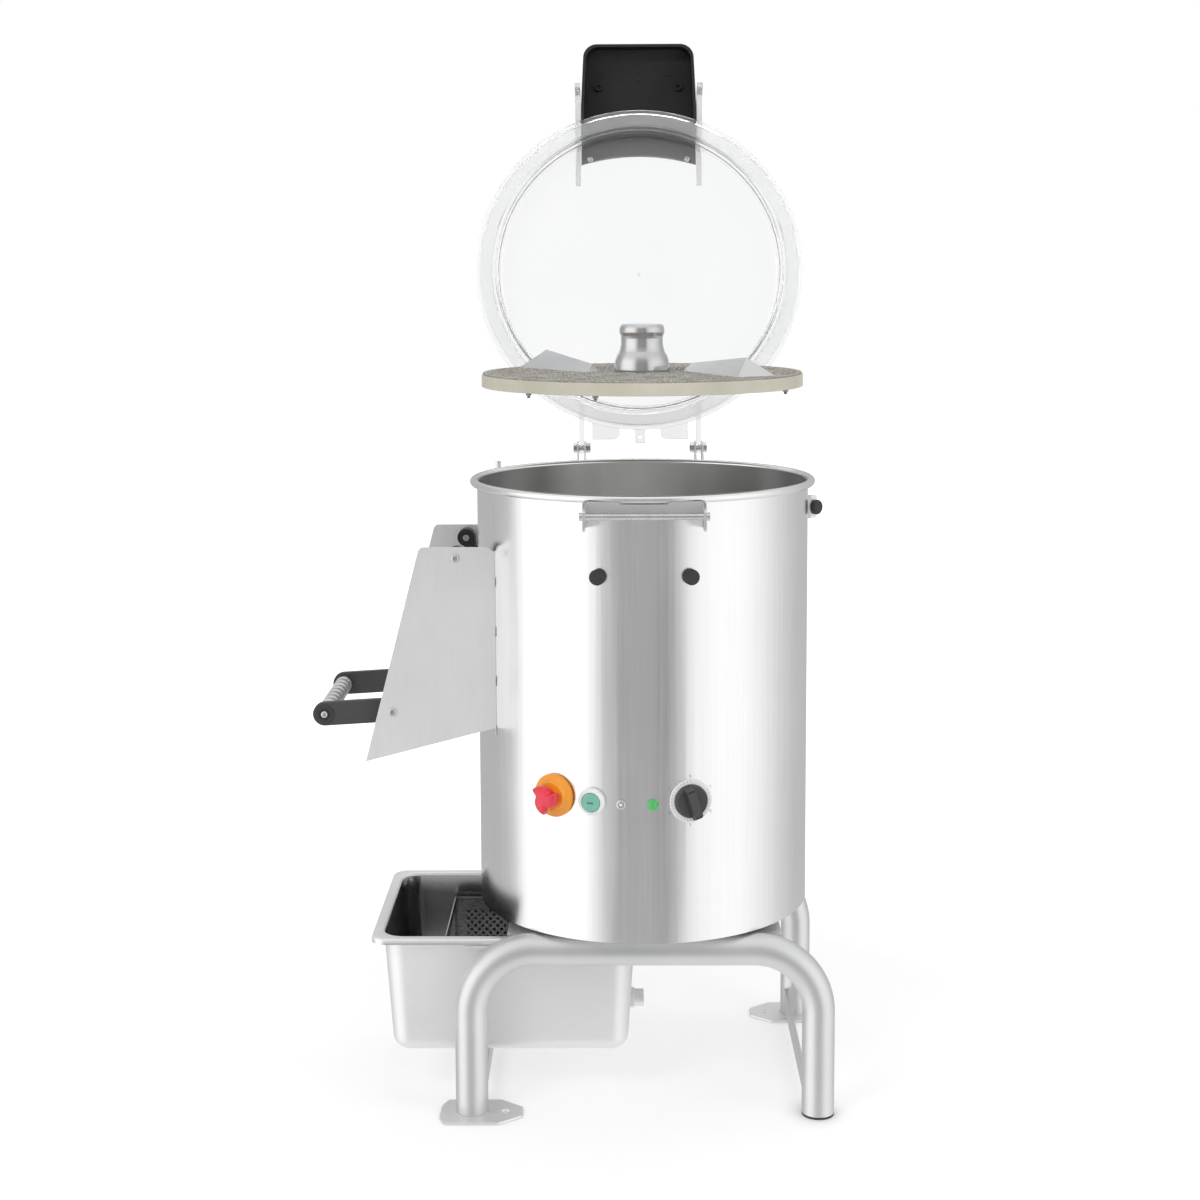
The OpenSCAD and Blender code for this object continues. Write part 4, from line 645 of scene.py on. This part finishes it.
panLow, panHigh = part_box("peel_pan")
pan = {
    "length": panHigh.x - panLow.x, "width": panHigh.y - panLow.y, "height": panHigh.z - panLow.z,
    "top": panHigh.z, "right": panHigh.x, "rim": 0.0125, "rimDrop": 0.007, "rimCorner": 0.018, "roll": 0.003,
    "bend": 0.004, "wall": 0.001, "lean": 0.01, "corner": 0.026, "foot": 0.017,
}


def roundLoop(middle, halfX, halfY, radius, height, steps=8):
    loop = []
    for turn, (sx, sy) in enumerate(((1, 1), (-1, 1), (-1, -1), (1, -1))):
        for i in range(steps + 1):
            angle = pi / 2 * (turn + i / steps)
            loop.append((middle + sx * (halfX - radius) + radius * cos(angle),
                         sy * (halfY - radius) + radius * sin(angle), height))
    return loop


def bandFaces(n, at=0):
    return [(at + i, at + (i + 1) % n, at + n + (i + 1) % n, at + n + i) for i in range(n)]


def loft(name, loops, closed=True):
    points = [p for loop in loops for p in loop]
    n = len(loops[0])
    faces = [f for k in range(len(loops) - 1) for f in bandFaces(n, k * n)]
    faces.append(tuple((len(loops) - 1) * n + i for i in range(n)))
    if closed:
        faces.append(tuple(n - 1 - i for i in range(n)))
    return meshFrom(name, points, (), faces)


def makePan():
    middle = pan["right"] - pan["length"] / 2
    top, low = pan["top"], pan["top"] - pan["height"] + pan["wall"]
    halfX, halfY = pan["length"] / 2, pan["width"] / 2
    bodyX, bodyY = halfX - pan["rim"] - pan["wall"], halfY - pan["rim"] - pan["wall"]
    loops = []

    def addLoop(x, y, inset, corner, height):
        loops.append(roundLoop(middle, x - inset, y - inset, corner, height))

    edge, roll, bend, foot = pan["rimCorner"], pan["roll"], pan["bend"], pan["foot"]
    addLoop(halfX, halfY, 0.0, edge, top - pan["rimDrop"])
    for i in range(6):
        a = radians(i * 18)
        inset = roll * (1 - cos(a))
        addLoop(halfX, halfY, inset, edge - inset, top - roll + roll * sin(a))
    for i in range(6):
        a = radians(i * 17)
        inset = bend * (sin(a) - 1)
        addLoop(bodyX, bodyY, inset, pan["corner"] - inset - 0.001, top - bend + bend * cos(a))
    depth = top - bend - low - foot
    for i in range(1, 7):
        share = i / 6
        lean = pan["lean"] * share * depth / pan["height"]  # the last one carries on round the foot
        addLoop(bodyX, bodyY, lean, pan["corner"] - 0.001 - 0.004 * share, top - bend - depth * share)
    for i in range(1, 8):
        a = radians(i * 90 / 7)
        inset = foot * (1 - cos(a))
        corner = max(pan["corner"] - 0.005 - inset, 0.002)
        addLoop(bodyX, bodyY, lean + inset, corner, low + foot * (1 - sin(a)))
    mesh = tidyNormals(loft("peelPan", loops, False))
    drawn = len(mesh.vertices)
    thing = addObject("peelPanRaw", mesh)
    # the sheet's upper side is drawn, so the wall goes to the other side
    up = max(mesh.polygons, key=lambda f: f.area).normal.z > 0
    sheet = thing.modifiers.new("wall", "SOLIDIFY")
    sheet.thickness, sheet.offset = pan["wall"], (-1.0 if up else 1.0)
    done = makeObject("peelPan", evaluated(thing), "pan_steel", "pan", ["peel_pan"], 50.0)
    # the pan's inside takes the smoother second finish, and its darker colour is painted shade
    inner = [1.0 if i < drawn and v.co.z < top - 0.0035 else 0.0 for i, v in enumerate(done.data.vertices)]
    addShare(done, "second", inner)


makePan()
print("pan made")


# ---- the strainer: sheets of diamond cells, each with a round hole, in a plain frame

basketLow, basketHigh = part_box("strainer")
basketFoot = 0.0139
strainer = {
    "right": basketHigh.x, "length": basketHigh.x - basketLow.x, "width": basketHigh.y - basketLow.y,
    "foot": basketFoot, "low": basketLow.z + basketFoot, "height": basketHigh.z - basketLow.z - basketFoot,
    "footHalf": 0.005, "footInX": 0.026, "footInY": 0.024,
    "pitch": 0.0096, "hole": 0.0021, "sheet": 0.001, "border": 0.009, "overlap": 0.0012,
}


def makeCell():
    half, r = strainer["pitch"] / 2, strainer["hole"]
    outer = []
    for turn in range(4):
        for i in range(3):
            a, b = pi / 2 * turn, pi / 2 * (turn + 1)
            start, end = Vector((cos(a), sin(a))), Vector((cos(b), sin(b)))
            outer.append(start.lerp(end, i / 3) * half)
    points = [(p.x, p.y, 0.0) for p in outer] + [(*(p.normalized() * r), 0.0) for p in outer]
    return addObject("strainerCell", meshFrom("strainerCell", points, (), bandFaces(len(outer))))


def buildPerforated():
    tree, given = newTree("perforated", ("Columns", "Int", 10), ("Rows", "Int", 9), ("Pitch", "Float", 0.0096),
                          ("Cell", "Object", None))
    cell = tree.add("GeometryNodeObjectInfo", {"Object": given["Cell"]}).outputs["Geometry"]
    pitch = given["Pitch"]
    wide = tree.math("MULTIPLY", tree.math("SUBTRACT", given["Columns"], 1.0), pitch)
    tall = tree.math("MULTIPLY", tree.math("SUBTRACT", given["Rows"], 1.0), pitch)
    main = tree.out("GeometryNodeMeshGrid", {
        0: wide, 1: tall, "Vertices X": given["Columns"], "Vertices Y": given["Rows"],
    })
    # a second grid, one row and one column smaller, falls between the first one's points
    second = tree.out("GeometryNodeMeshGrid", {
        0: tree.math("SUBTRACT", wide, pitch), 1: tree.math("SUBTRACT", tall, pitch),
        "Vertices X": tree.whole("SUBTRACT", given["Columns"], 1),
        "Vertices Y": tree.whole("SUBTRACT", given["Rows"], 1),
    })
    both = tree.add("GeometryNodeJoinGeometry")
    tree.link(main, both.inputs[0])
    tree.link(second, both.inputs[0])
    real = tree.out("GeometryNodeRealizeInstances", {0: tree.setOut(both.outputs[0], cell)})
    joined = tree.out("GeometryNodeMergeByDistance", {"Geometry": real, "Distance": 0.00005})
    return endTree(tree, joined, given)


def addBox(bm, low, high):
    made = bmesh.ops.create_cube(bm, size=1.0)["verts"]
    for v in made:
        v.co = Vector([low[i] + (v.co[i] + 0.5) * (high[i] - low[i]) for i in range(3)])


def makeStrainer():
    tree = buildPerforated()
    cell = makeCell()
    left, right = strainer["right"] - strainer["length"], strainer["right"]
    half, low, high = strainer["width"] / 2, strainer["low"], strainer["low"] + strainer["height"]
    pitch, edge, skin = strainer["pitch"], strainer["border"], strainer["sheet"] / 2
    midX, midZ = (left + right) / 2, (low + high) / 2
    panels = [(strainer["length"], strainer["width"], shift(midX, 0.0, low + skin))]
    panels += [(strainer["length"], strainer["height"], shift(midX, y, midZ) @ turnBy(90, "X"))
               for y in (half - skin, skin - half)]
    panels += [(strainer["width"], strainer["height"], shift(x, 0.0, midZ) @ turnBy(90, "Z") @ turnBy(90, "X"))
               for x in (left + skin, right - skin)]
    whole = bmesh.new()
    for i, (wide, tall, place) in enumerate(panels):
        values = {"Columns": int((wide - 1.2 * edge) / pitch), "Rows": int((tall - 1.2 * edge) / pitch),
                  "Pitch": pitch, "Cell": cell}
        raw = addObject("panel", grow("panel%d" % i, tree, "pan_steel", values))
        sheet = raw.modifiers.new("wall", "SOLIDIFY")
        sheet.thickness, sheet.offset = strainer["sheet"] * 0.7, 0.0
        # plain strips round the sheet, a little thicker than it
        doneX = (values["Columns"] - 1) * pitch / 2 - strainer["overlap"]
        doneZ = (values["Rows"] - 1) * pitch / 2 - strainer["overlap"]
        strips = bmesh.new()
        for s in sides:
            xs = sorted((s * doneX, s * wide / 2))
            zs = sorted((s * doneZ, s * tall / 2))
            addBox(strips, (xs[0], -tall / 2, -skin), (xs[1], tall / 2, skin))
            addBox(strips, (-doneX, zs[0], -skin), (doneX, zs[1], skin))
        for mesh in (evaluated(raw), meshOf("strips", strips)):
            mesh.transform(place)
            whole.from_mesh(mesh)
            bpy.data.meshes.remove(mesh)
    foot, inX, inY = strainer["footHalf"], strainer["footInX"], strainer["footInY"]
    for x in (left + inX, right - inX):
        for y in (inY - half, half - inY):
            addBox(whole, (x - foot, y - foot, low - strainer["foot"]), (x + foot, y + foot, low))
    bmesh.ops.recalc_face_normals(whole, faces=whole.faces)
    bpy.data.objects.remove(cell)
    basket = makeObject("strainerBasket", meshOf("strainerBasket", whole), "pan_steel", "pan", ["strainer"])
    # the whole basket takes the darker second finish, a painted shade inside the pan
    addShare(basket, "second", [1.0] * len(basket.data.vertices))


makeStrainer()
print("strainer made")


# ---- loose grit on the disc's top

grit = {
    "inner": 0.036, "outer": 0.186, "margin": 0.001, "sink": 0.0002, "around": 72,
    "density": 56000.0, "size": 0.0013, "seed": 7,
}


def buildGrit():
    tree, given = newTree("gritGrains", ("Surface", "Geometry", None), ("Density", "Float", 50000.0),
                          ("Size", "Float", 0.001), ("Seed", "Int", 1))
    seed = given["Seed"]
    area = {"Mesh": given["Surface"], "Density": given["Density"], "Seed": seed}
    spread = tree.out("GeometryNodeDistributePointsOnFaces", area)
    grain = tree.out("GeometryNodeMeshIcoSphere", {"Radius": given["Size"], "Subdivisions": 1})
    turn = tree.randomTriple(seed, (0.0, 0.0, 0.0), (6.28, 6.28, 6.28))
    size = tree.randomTriple(seed, (0.5, 0.5, 0.4), (1.2, 1.2, 0.9))
    return endTree(tree, tree.setOut(spread, grain, Rotation=turn, Scale=size), given)


def makeGrit():
    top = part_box("abrasive_top")[1]
    ring = []
    for reach in (grit["inner"], min(grit["outer"], top.x - grit["margin"])):
        ring += ringOf([reach] * grit["around"], top.z - grit["sink"])
    base = meshFrom("gritBase", ring, (), bandFaces(grit["around"]))
    values = {"Density": grit["density"], "Size": grit["size"], "Seed": grit["seed"]}
    makeObject("gritGrains", grow("gritGrains", buildGrit(), "grit", values, base), "grit", "disc")


makeGrit()
print("grit made")


# ---- screws and studs: one head each, set on points that carry its turn

def makeHead(radius, height, socket=0.36, around=24):
    turns = [2 * pi * i / around for i in range(around)]
    flats = [cos(pi / 6) / cos(a % (pi / 3) - pi / 6) for a in turns]
    loops = [ringOf([radius * wide] * around, height * up) for wide, up in (
        (1.0, 0.0), (1.0, 0.3), (0.93, 0.6), (0.78, 0.86), (0.6, 1.0),
    )]
    loops += [ringOf([radius * socket * flat for flat in flats], height * up) for up in (1.0, 0.62)]
    return addObject("head", loft("head", loops))


def makeStud():
    # a nut and the threaded end below it
    nut = loft("nut", [ringOf([stud["nut"]] * 6, z) for z in (0.0, stud["nutHeight"])])
    turns = [(stud["crest"] if i % 2 else stud["root"], stud["start"] + i * stud["pitch"]) for i in range(8)]
    turns.append((stud["tip"], stud["end"]))
    whole = bmesh.new()
    whole.from_mesh(nut)
    whole.from_mesh(loft("thread", [ringOf([r] * 12, z) for r, z in turns]))
    return addObject("stud", meshOf("stud", whole))


def buildScrewSet():
    tree, given = newTree("screwSet", ("Points", "Geometry", None), ("Head", "Object", None))
    head = tree.add("GeometryNodeObjectInfo", {"Object": given["Head"]}).outputs["Geometry"]
    turn = tree.add("GeometryNodeInputNamedAttribute", {"Name": "turn"}, data_type="FLOAT_VECTOR")
    placed = tree.setOut(given["Points"], head, Rotation=turn.outputs["Attribute"])
    return endTree(tree, placed, given)


screwTree = buildScrewSet()


def setScrews(name, places, head, slot, body, replaced=()):
    base = meshFrom(name, [m.translation for m in places])
    turns = base.attributes.new("turn", "FLOAT_VECTOR", "POINT")
    turns.data.foreach_set("vector", [v for m in places for v in m.to_euler()])
    mesh = grow(name, screwTree, slot, {"Head": head}, base)
    bpy.data.objects.remove(head)
    return makeObject(name, tidyNormals(mesh, 0.000001), slot, body, replaced, 40.0)


def facing(x, y, z, way, turn=0.0):
    # local Z points out along -Y (way -1) or +Y (way 1)
    return shift(x, y, z) @ turnBy(-90 * way, "X") @ turnBy(turn, "Z")


gripLow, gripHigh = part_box("lever_grip")
gripX, gripZ = (gripLow.x + gripHigh.x) / 2, (gripLow.z + gripHigh.z) / 2
lever = {
    "pivot": (-0.296, 0.469), "door": (-0.22, 0.652),
    "armOut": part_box("lever_arms")[1].y, "plateOut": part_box("chute_sides")[1].y,
    "pinStart": 0.0805, "pinRadius": 0.004, "bossRadius": 0.0108, "bossHeight": 0.002, "dish": 0.0005,
    "boltRadius": 0.0044, "boltHeight": 0.003,
    "gripRadius": (gripHigh.z - gripLow.z) / 2, "ribs": 9, "groove": 0.0026,
}
plateSpots = [facing(x, s * lever["plateOut"], z, s, 20 * s + 11)
              for s in sides for x, z in (lever["door"], lever["pivot"])]
setScrews("chuteScrewHeads", plateSpots, makeHead(0.0052, 0.003), "bolt_steel", "main", ["chute_screws"])
pinGap, pinR = lever["plateOut"] - lever["pinStart"], lever["pinRadius"]
pinProfile = [(0.0, 0.0), (pinR - 0.0004, 0.0), (pinR, 0.0004), (pinR, pinGap), (0.0, pinGap)]
bossR, bossH, bossLow = lever["bossRadius"], lever["bossHeight"], lever["bossHeight"] - lever["dish"]
bossProfile = [(0.0, 0.0), (bossR, 0.0), (bossR, bossH - 0.0006), (bossR - 0.0006, bossH), (0.0062, bossH),
               (0.0056, bossLow), (0.0, bossLow)]
for s, end in zip(sides, ("Front", "Rear")):
    place = facing(lever["pivot"][0], s * lever["pinStart"], lever["pivot"][1], s)
    revolve("leverPin" + end, pinProfile, "bolt_steel", "main", place, 32)
    place = facing(gripX, s * lever["armOut"], gripZ, s)
    revolve("leverBoss" + end, bossProfile, "black_rubber", "lever", place, 48)


def gripProfile():
    reach, length = lever["gripRadius"], gripHigh.y - gripLow.y
    low, step = reach - lever["groove"], length / lever["ribs"]
    points = [(0.0, 0.0)]
    for i in range(lever["ribs"]):
        a, b = i * step, (i + 1) * step
        points += [(low, a), (low, a + 0.0028), (reach - 0.0007, a + 0.0032), (reach, a + 0.0046),
                   (reach, b - 0.0046), (reach - 0.0007, b - 0.0032), (low, b - 0.0028)]
    return points + [(low, length), (0.0, length)]


gripPlace = shift(gripX, gripLow.y, gripZ) @ turnBy(-90, "X")
grip = revolve("leverGrip", gripProfile(), "grip_ribbed", "lever", gripPlace, 48, ["lever_grip"])
# the grooves take a near-black second finish, a painted shade in the recesses between the ribs
grooveRadius = lever["gripRadius"] - lever["groove"] + 0.001
away = [hypot(v.co.x - gripX, v.co.z - gripZ) for v in grip.data.vertices]
addShare(grip, "second", [1.0 if reach < grooveRadius else 0.0 for reach in away])
gripSpots = [facing(gripX, s * (lever["armOut"] + bossLow), gripZ, s, 8) for s in sides]
setScrews("leverBoltHeads", gripSpots, makeHead(lever["boltRadius"], lever["boltHeight"]),
          "bolt_steel", "lever", ["lever_bolts"])
handleScrew = {"x": 0.066, "y": -0.158, "z": 0.7626, "radius": 0.004, "height": 0.0028}
handleSpots = [openLid @ shift(s * handleScrew["x"], handleScrew["y"], handleScrew["z"]) @ turnBy(180, "X")
               for s in sides]
setScrews("handleScrewHeads", handleSpots, makeHead(handleScrew["radius"], handleScrew["height"]),
          "bolt_steel", "lid", ["handle_screws"])
stud = {
    "radius": 0.185, "angles": (-26, 45, 73, 154, 225, 253), "nut": 0.0035, "nutHeight": 0.0028,
    "crest": 0.0021, "root": 0.0017, "start": 0.0026, "pitch": 0.0004, "tip": 0.0014, "end": 0.006,
}
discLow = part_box("disc_plate")[0].z
studSpots = [turnBy(a, "Z") @ shift(stud["radius"], 0.0, discLow) @ turnBy(180, "X") for a in stud["angles"]]
setScrews("discStuds", studSpots, makeStud(), "cast_grey", "disc", ["disc_screws"])
print("screws set")


# ---- weld beads along the joints

def buildWeld():
    tree, given = newTree("weldBead", ("Path", "Geometry", None), ("Count", "Int", 20), ("Size", "Float", 0.001),
                          ("Seed", "Int", 1))
    curve = tree.out("GeometryNodeMeshToCurve", {"Mesh": given["Path"]})
    spread = tree.out("GeometryNodeResampleCurve", {"Curve": curve, "Count": given["Count"]})
    drop = tree.out("GeometryNodeMeshUVSphere", {"Segments": 8, "Rings": 5, "Radius": given["Size"]})
    size = tree.randomTriple(given["Seed"], (0.85, 0.85, 0.7), (1.15, 1.15, 1.0))
    return endTree(tree, tree.setOut(spread, drop, Scale=size), given)


weldTree = buildWeld()
weld = {
    "seed": 3, "foot": 0.0014, "footBeads": 72, "tack": 0.0009, "tackBeads": 8, "tackHalf": 0.005,
    "tackHeights": (0.447, 0.506, 0.565, 0.624), "gap": 0.0004,
    "seam": 0.0008, "seamBeads": 340, "seamAngle": 172, "seamEnds": (0.224, 0.731),
}


def addWeld(name, lines, count, size, slot):
    points, edges = [], []
    for line in lines:
        edges += [(len(points) + i, len(points) + i + 1) for i in range(len(line) - 1)]
        points += line
    values = {"Count": count, "Size": size, "Seed": weld["seed"]}
    return makeObject(name, grow(name, weldTree, slot, values, meshFrom(name, points, edges)), slot, "main")


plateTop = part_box("foot_plates")[1].z
rings = []
for s in sides:
    ring = ringOf([machine["tubeRadius"] + weld["gap"]] * 48, plateTop, (s * machine["legX"], s * machine["legY"]))
    rings.append(ring + ring[:1])
addWeld("footWelds", rings, weld["footBeads"], weld["foot"], "satin_tube")
drum = machine["drumRadius"]
tackX = -sqrt(drum ** 2 - lever["plateOut"] ** 2) - 0.0006
tackY = lever["plateOut"] + weld["gap"]
tacks = [[(tackX, s * tackY, z - weld["tackHalf"]), (tackX, s * tackY, z + weld["tackHalf"])]
         for s in sides for z in weld["tackHeights"]]
addWeld("chuteTacks", tacks, weld["tackBeads"], weld["tack"], "satin_tube")
seamAngle = radians(weld["seamAngle"])
seam = [[(drum * sin(seamAngle), -drum * cos(seamAngle), z) for z in weld["seamEnds"]]]
addWeld("drumSeam", seam, weld["seamBeads"], weld["seam"], "drum_steel")
print("welds made")


# ---- controls: marks and shapes that the caps carry

def buildMarks():
    tree, given = newTree("ringMarks", ("Count", "Int", 12), ("Radius", "Float", 0.02), ("Sweep", "Float", 5.2),
                          ("Start", "Float", 0.0), ("Long", "Float", 0.002), ("Wide", "Float", 0.0005),
                          ("Thick", "Float", 0.0002))
    line = tree.out("GeometryNodeMeshLine", {"Count": given["Count"], "Offset": (0.0, 0.0, 0.0)})
    index = tree.out("GeometryNodeInputIndex")
    step = tree.math("DIVIDE", given["Sweep"], tree.math("SUBTRACT", given["Count"], 1.0))
    angle = tree.math("ADD", given["Start"], tree.math("MULTIPLY", index, step))
    x = tree.math("MULTIPLY", tree.math("COSINE", angle), given["Radius"])
    y = tree.math("MULTIPLY", tree.math("SINE", angle), given["Radius"])
    spot = tree.out("CombineXYZ", {0: x, 1: y})
    spots = tree.out("GeometryNodeSetPosition", {"Geometry": line, "Position": spot})
    size = tree.out("CombineXYZ", {0: given["Long"], 1: given["Wide"], 2: given["Thick"]})
    bar = tree.out("GeometryNodeMeshCube", {"Size": size})
    turn = tree.out("CombineXYZ", {2: angle})
    return endTree(tree, tree.setOut(spots, bar, Rotation=turn), given)


marksTree = buildMarks()


def addMarks(name, values, slot, body, place):
    return makeObject(name, grow(name, marksTree, slot, values), slot, body, place=place)


marks = {
    "dial": {"Count": 31, "Radius": 0.0226, "Sweep": radians(300), "Start": radians(90),
             "Long": 0.0016, "Wide": 0.00035, "Thick": 0.00012},
    "stop": {"Count": 22, "Radius": 0.0216, "Sweep": radians(341), "Start": radians(20),
             "Long": 0.001, "Wide": 0.0026, "Thick": 0.00012},
    "dialTop": 0.0014, "collarTop": 0.00465, "wallTop": 0.00035,
    "numbers": ("0", "1", "2", "3", "4", "5"), "numberStep": 60, "numberRadius": 0.0282, "numberSize": 0.0042,
}
addMarks("dialTicks", marks["dial"], "black_plastic", "main", onControl(4, marks["dialTop"]))
addMarks("stopRingMarks", marks["stop"], "cast_grey", "main", onControl(0, marks["collarTop"]))


def addNumbers(name, place, slot, body):
    whole = bmesh.new()
    for i, word in enumerate(marks["numbers"]):
        text = bpy.data.curves.new(name, "FONT")
        text.body, text.size, text.extrude = word, marks["numberSize"], 0.00006
        text.align_x, text.align_y = "CENTER", "CENTER"
        text.resolution_u = 3
        mesh = evaluated(addObject(name, text))
        a = radians(90 - marks["numberStep"] * i)
        mesh.transform(place @ shift(marks["numberRadius"] * cos(a), marks["numberRadius"] * sin(a), 0.0))
        whole.from_mesh(mesh)
        bpy.data.meshes.remove(mesh)
    return makeObject(name, tidyNormals(meshOf(name, whole)), slot, body)


addNumbers("dialNumbers", onControl(4, marks["wallTop"]), "cast_grey", "main")


stop = {
    "lobes": 3, "phase": 0.667, "rise": 0.9, "small": 0.0098, "large": 0.0184, "stem": 0.0085,
    "stemEnds": (0.002, 0.016), "around": 120,
    # height, and the share of the outline's reach
    "levels": ((0.016, 0.86), (0.017, 0.97), (0.0178, 1.0), (0.0225, 1.0), (0.0248, 0.95), (0.0264, 0.84),
               (0.0275, 0.66), (0.028, 0.4)),
}


def makeStopHead():
    # the rim sweeps outwards three times round, and each sweep ends in a hook
    reaches = []
    for i in range(stop["around"]):
        sweep = (stop["lobes"] * i / stop["around"] + stop["phase"]) % 1.0
        rise = min(sweep / stop["rise"], (1.0 - sweep) / (1.0 - stop["rise"]))
        reaches.append(stop["small"] + (stop["large"] - stop["small"]) * rise)
    loops = [ringOf([stop["stem"]] * stop["around"], z) for z in stop["stemEnds"]]
    loops += [ringOf([r * share for r in reaches], z) for z, share in stop["levels"]]
    mesh = tidyNormals(loft("stopHead", loops), 0.000001)
    makeObject("stopHead", mesh, "red_plastic", "stop_head", ["estop_button"], 50.0, onControl(0))


makeStopHead()


def addPlate(name, halfX, halfY, low, high, slot, body, place, corner=0.0004):
    loops = [roundLoop(0.0, halfX - inset, halfY - inset, corner * share, z, 4) for inset, share, z in (
        (0.0, 1.0, low), (0.0, 1.0, high - corner / 3), (corner / 3, 0.7, high),
    )]
    return makeObject(name, tidyNormals(loft(name, loops), 0.000001), slot, body, (), 40.0, place)


knobTurn = 17
addPlate("startCapMark", 0.0038, 0.0009, 0.0099, 0.01012, "motor_paint", "start_cap", onControl(1))
addPlate("knobBar", 0.004, 0.0168, 0.019, 0.0206, "black_plastic", "timer",
         onControl(4) @ turnBy(knobTurn, "Z"), 0.001)
print("controls marked")


# ---- ribs and bosses inside the lid's handle

hood = {
    "arcRadius": 0.284, "arcHalf": 0.048, "arcLow": 0.7705, "arcHigh": 0.7775, "thick": 0.0016, "steps": 16,
    "ribLow": (-0.0008, -0.2885, 0.7725), "ribHigh": (0.0008, -0.272, 0.777),
    "boss": (0.055, -0.264, 0.7795), "bossRadius": 0.0052,
}


def makeHoodRibs():
    low, high, edge = hood["arcLow"], hood["arcHigh"], 0.0004
    near, far = hood["arcRadius"] - hood["thick"] / 2, hood["arcRadius"] + hood["thick"] / 2
    section = ((near, high), (near, low + edge), (near + edge, low), (far - edge, low), (far, low + edge),
               (far, high))
    loops = []
    for i in range(hood["steps"] + 1):
        a = asin(hood["arcHalf"] * (2 * i / hood["steps"] - 1) / hood["arcRadius"])
        loops.append([(r * sin(a), -r * cos(a), z) for r, z in section])
    whole = bmesh.new()
    whole.from_mesh(loft("arcRib", loops))
    addBox(whole, hood["ribLow"], hood["ribHigh"])
    makeObject("hoodRibs", tidyNormals(meshOf("hoodRibs", whole)), "black_plastic", "lid", (), 40.0, openLid)
    x, y, z = hood["boss"]
    r = hood["bossRadius"]
    cup = [(0.0, 0.003), (r - 0.0022, 0.003), (r - 0.0022, 0.0065), (r - 0.0016, 0.007), (r - 0.0005, 0.007),
           (r, 0.0064), (r + 0.0004, 0.0), (0.0, 0.0)]
    for s, end in zip(sides, ("Left", "Right")):
        revolve("hoodBoss" + end, cup, "black_plastic", "lid", openLid @ shift(s * x, y, z) @ turnBy(180, "X"), 32)


makeHoodRibs()
print("handle ribs made")


# ---- the hub, turned from one bar

hub = {"foot": 0.0334, "waist": 0.0252, "top": 0.02725, "high": 0.057, "bore": 0.0122, "boreTop": 0.034}
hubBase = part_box("abrasive_top")[1].z


def hubProfile():
    h, up, wide = hub["high"], hub["boreTop"], hub["bore"]
    points = [(0.0, up), (wide, up), (wide, -0.0002)]
    points += [(hub["foot"] - inset, z) for inset, z in (
        (0.0006, 0.0), (0.0, 0.0008), (0.0, 0.003), (0.0005, 0.01), (0.0016, 0.0155), (0.003, 0.0195),
        (0.0052, 0.0228),
    )]
    points += [(hub["waist"] + out, z) for out, z in (
        (0.0018, 0.0262), (0.0007, 0.03), (0.0, 0.035), (0.0, 0.04), (0.0003, 0.0428),
    )]
    points += [(hub["top"] - inset, z) for inset, z in (
        (0.001, 0.045), (0.0001, 0.0466), (0.0, 0.049), (0.0002, 0.052), (0.0009, 0.0545), (0.0024, 0.0564),
        (0.0046, h), (0.0105, h), (0.0112, h - 0.0008),
    )]
    return points + [(0.0, h - 0.0008)]


revolve("hubTurned", hubProfile(), "hub_aluminium", "disc", shift(0.0, 0.0, hubBase), 96, (), 50.0)
print("hub turned")
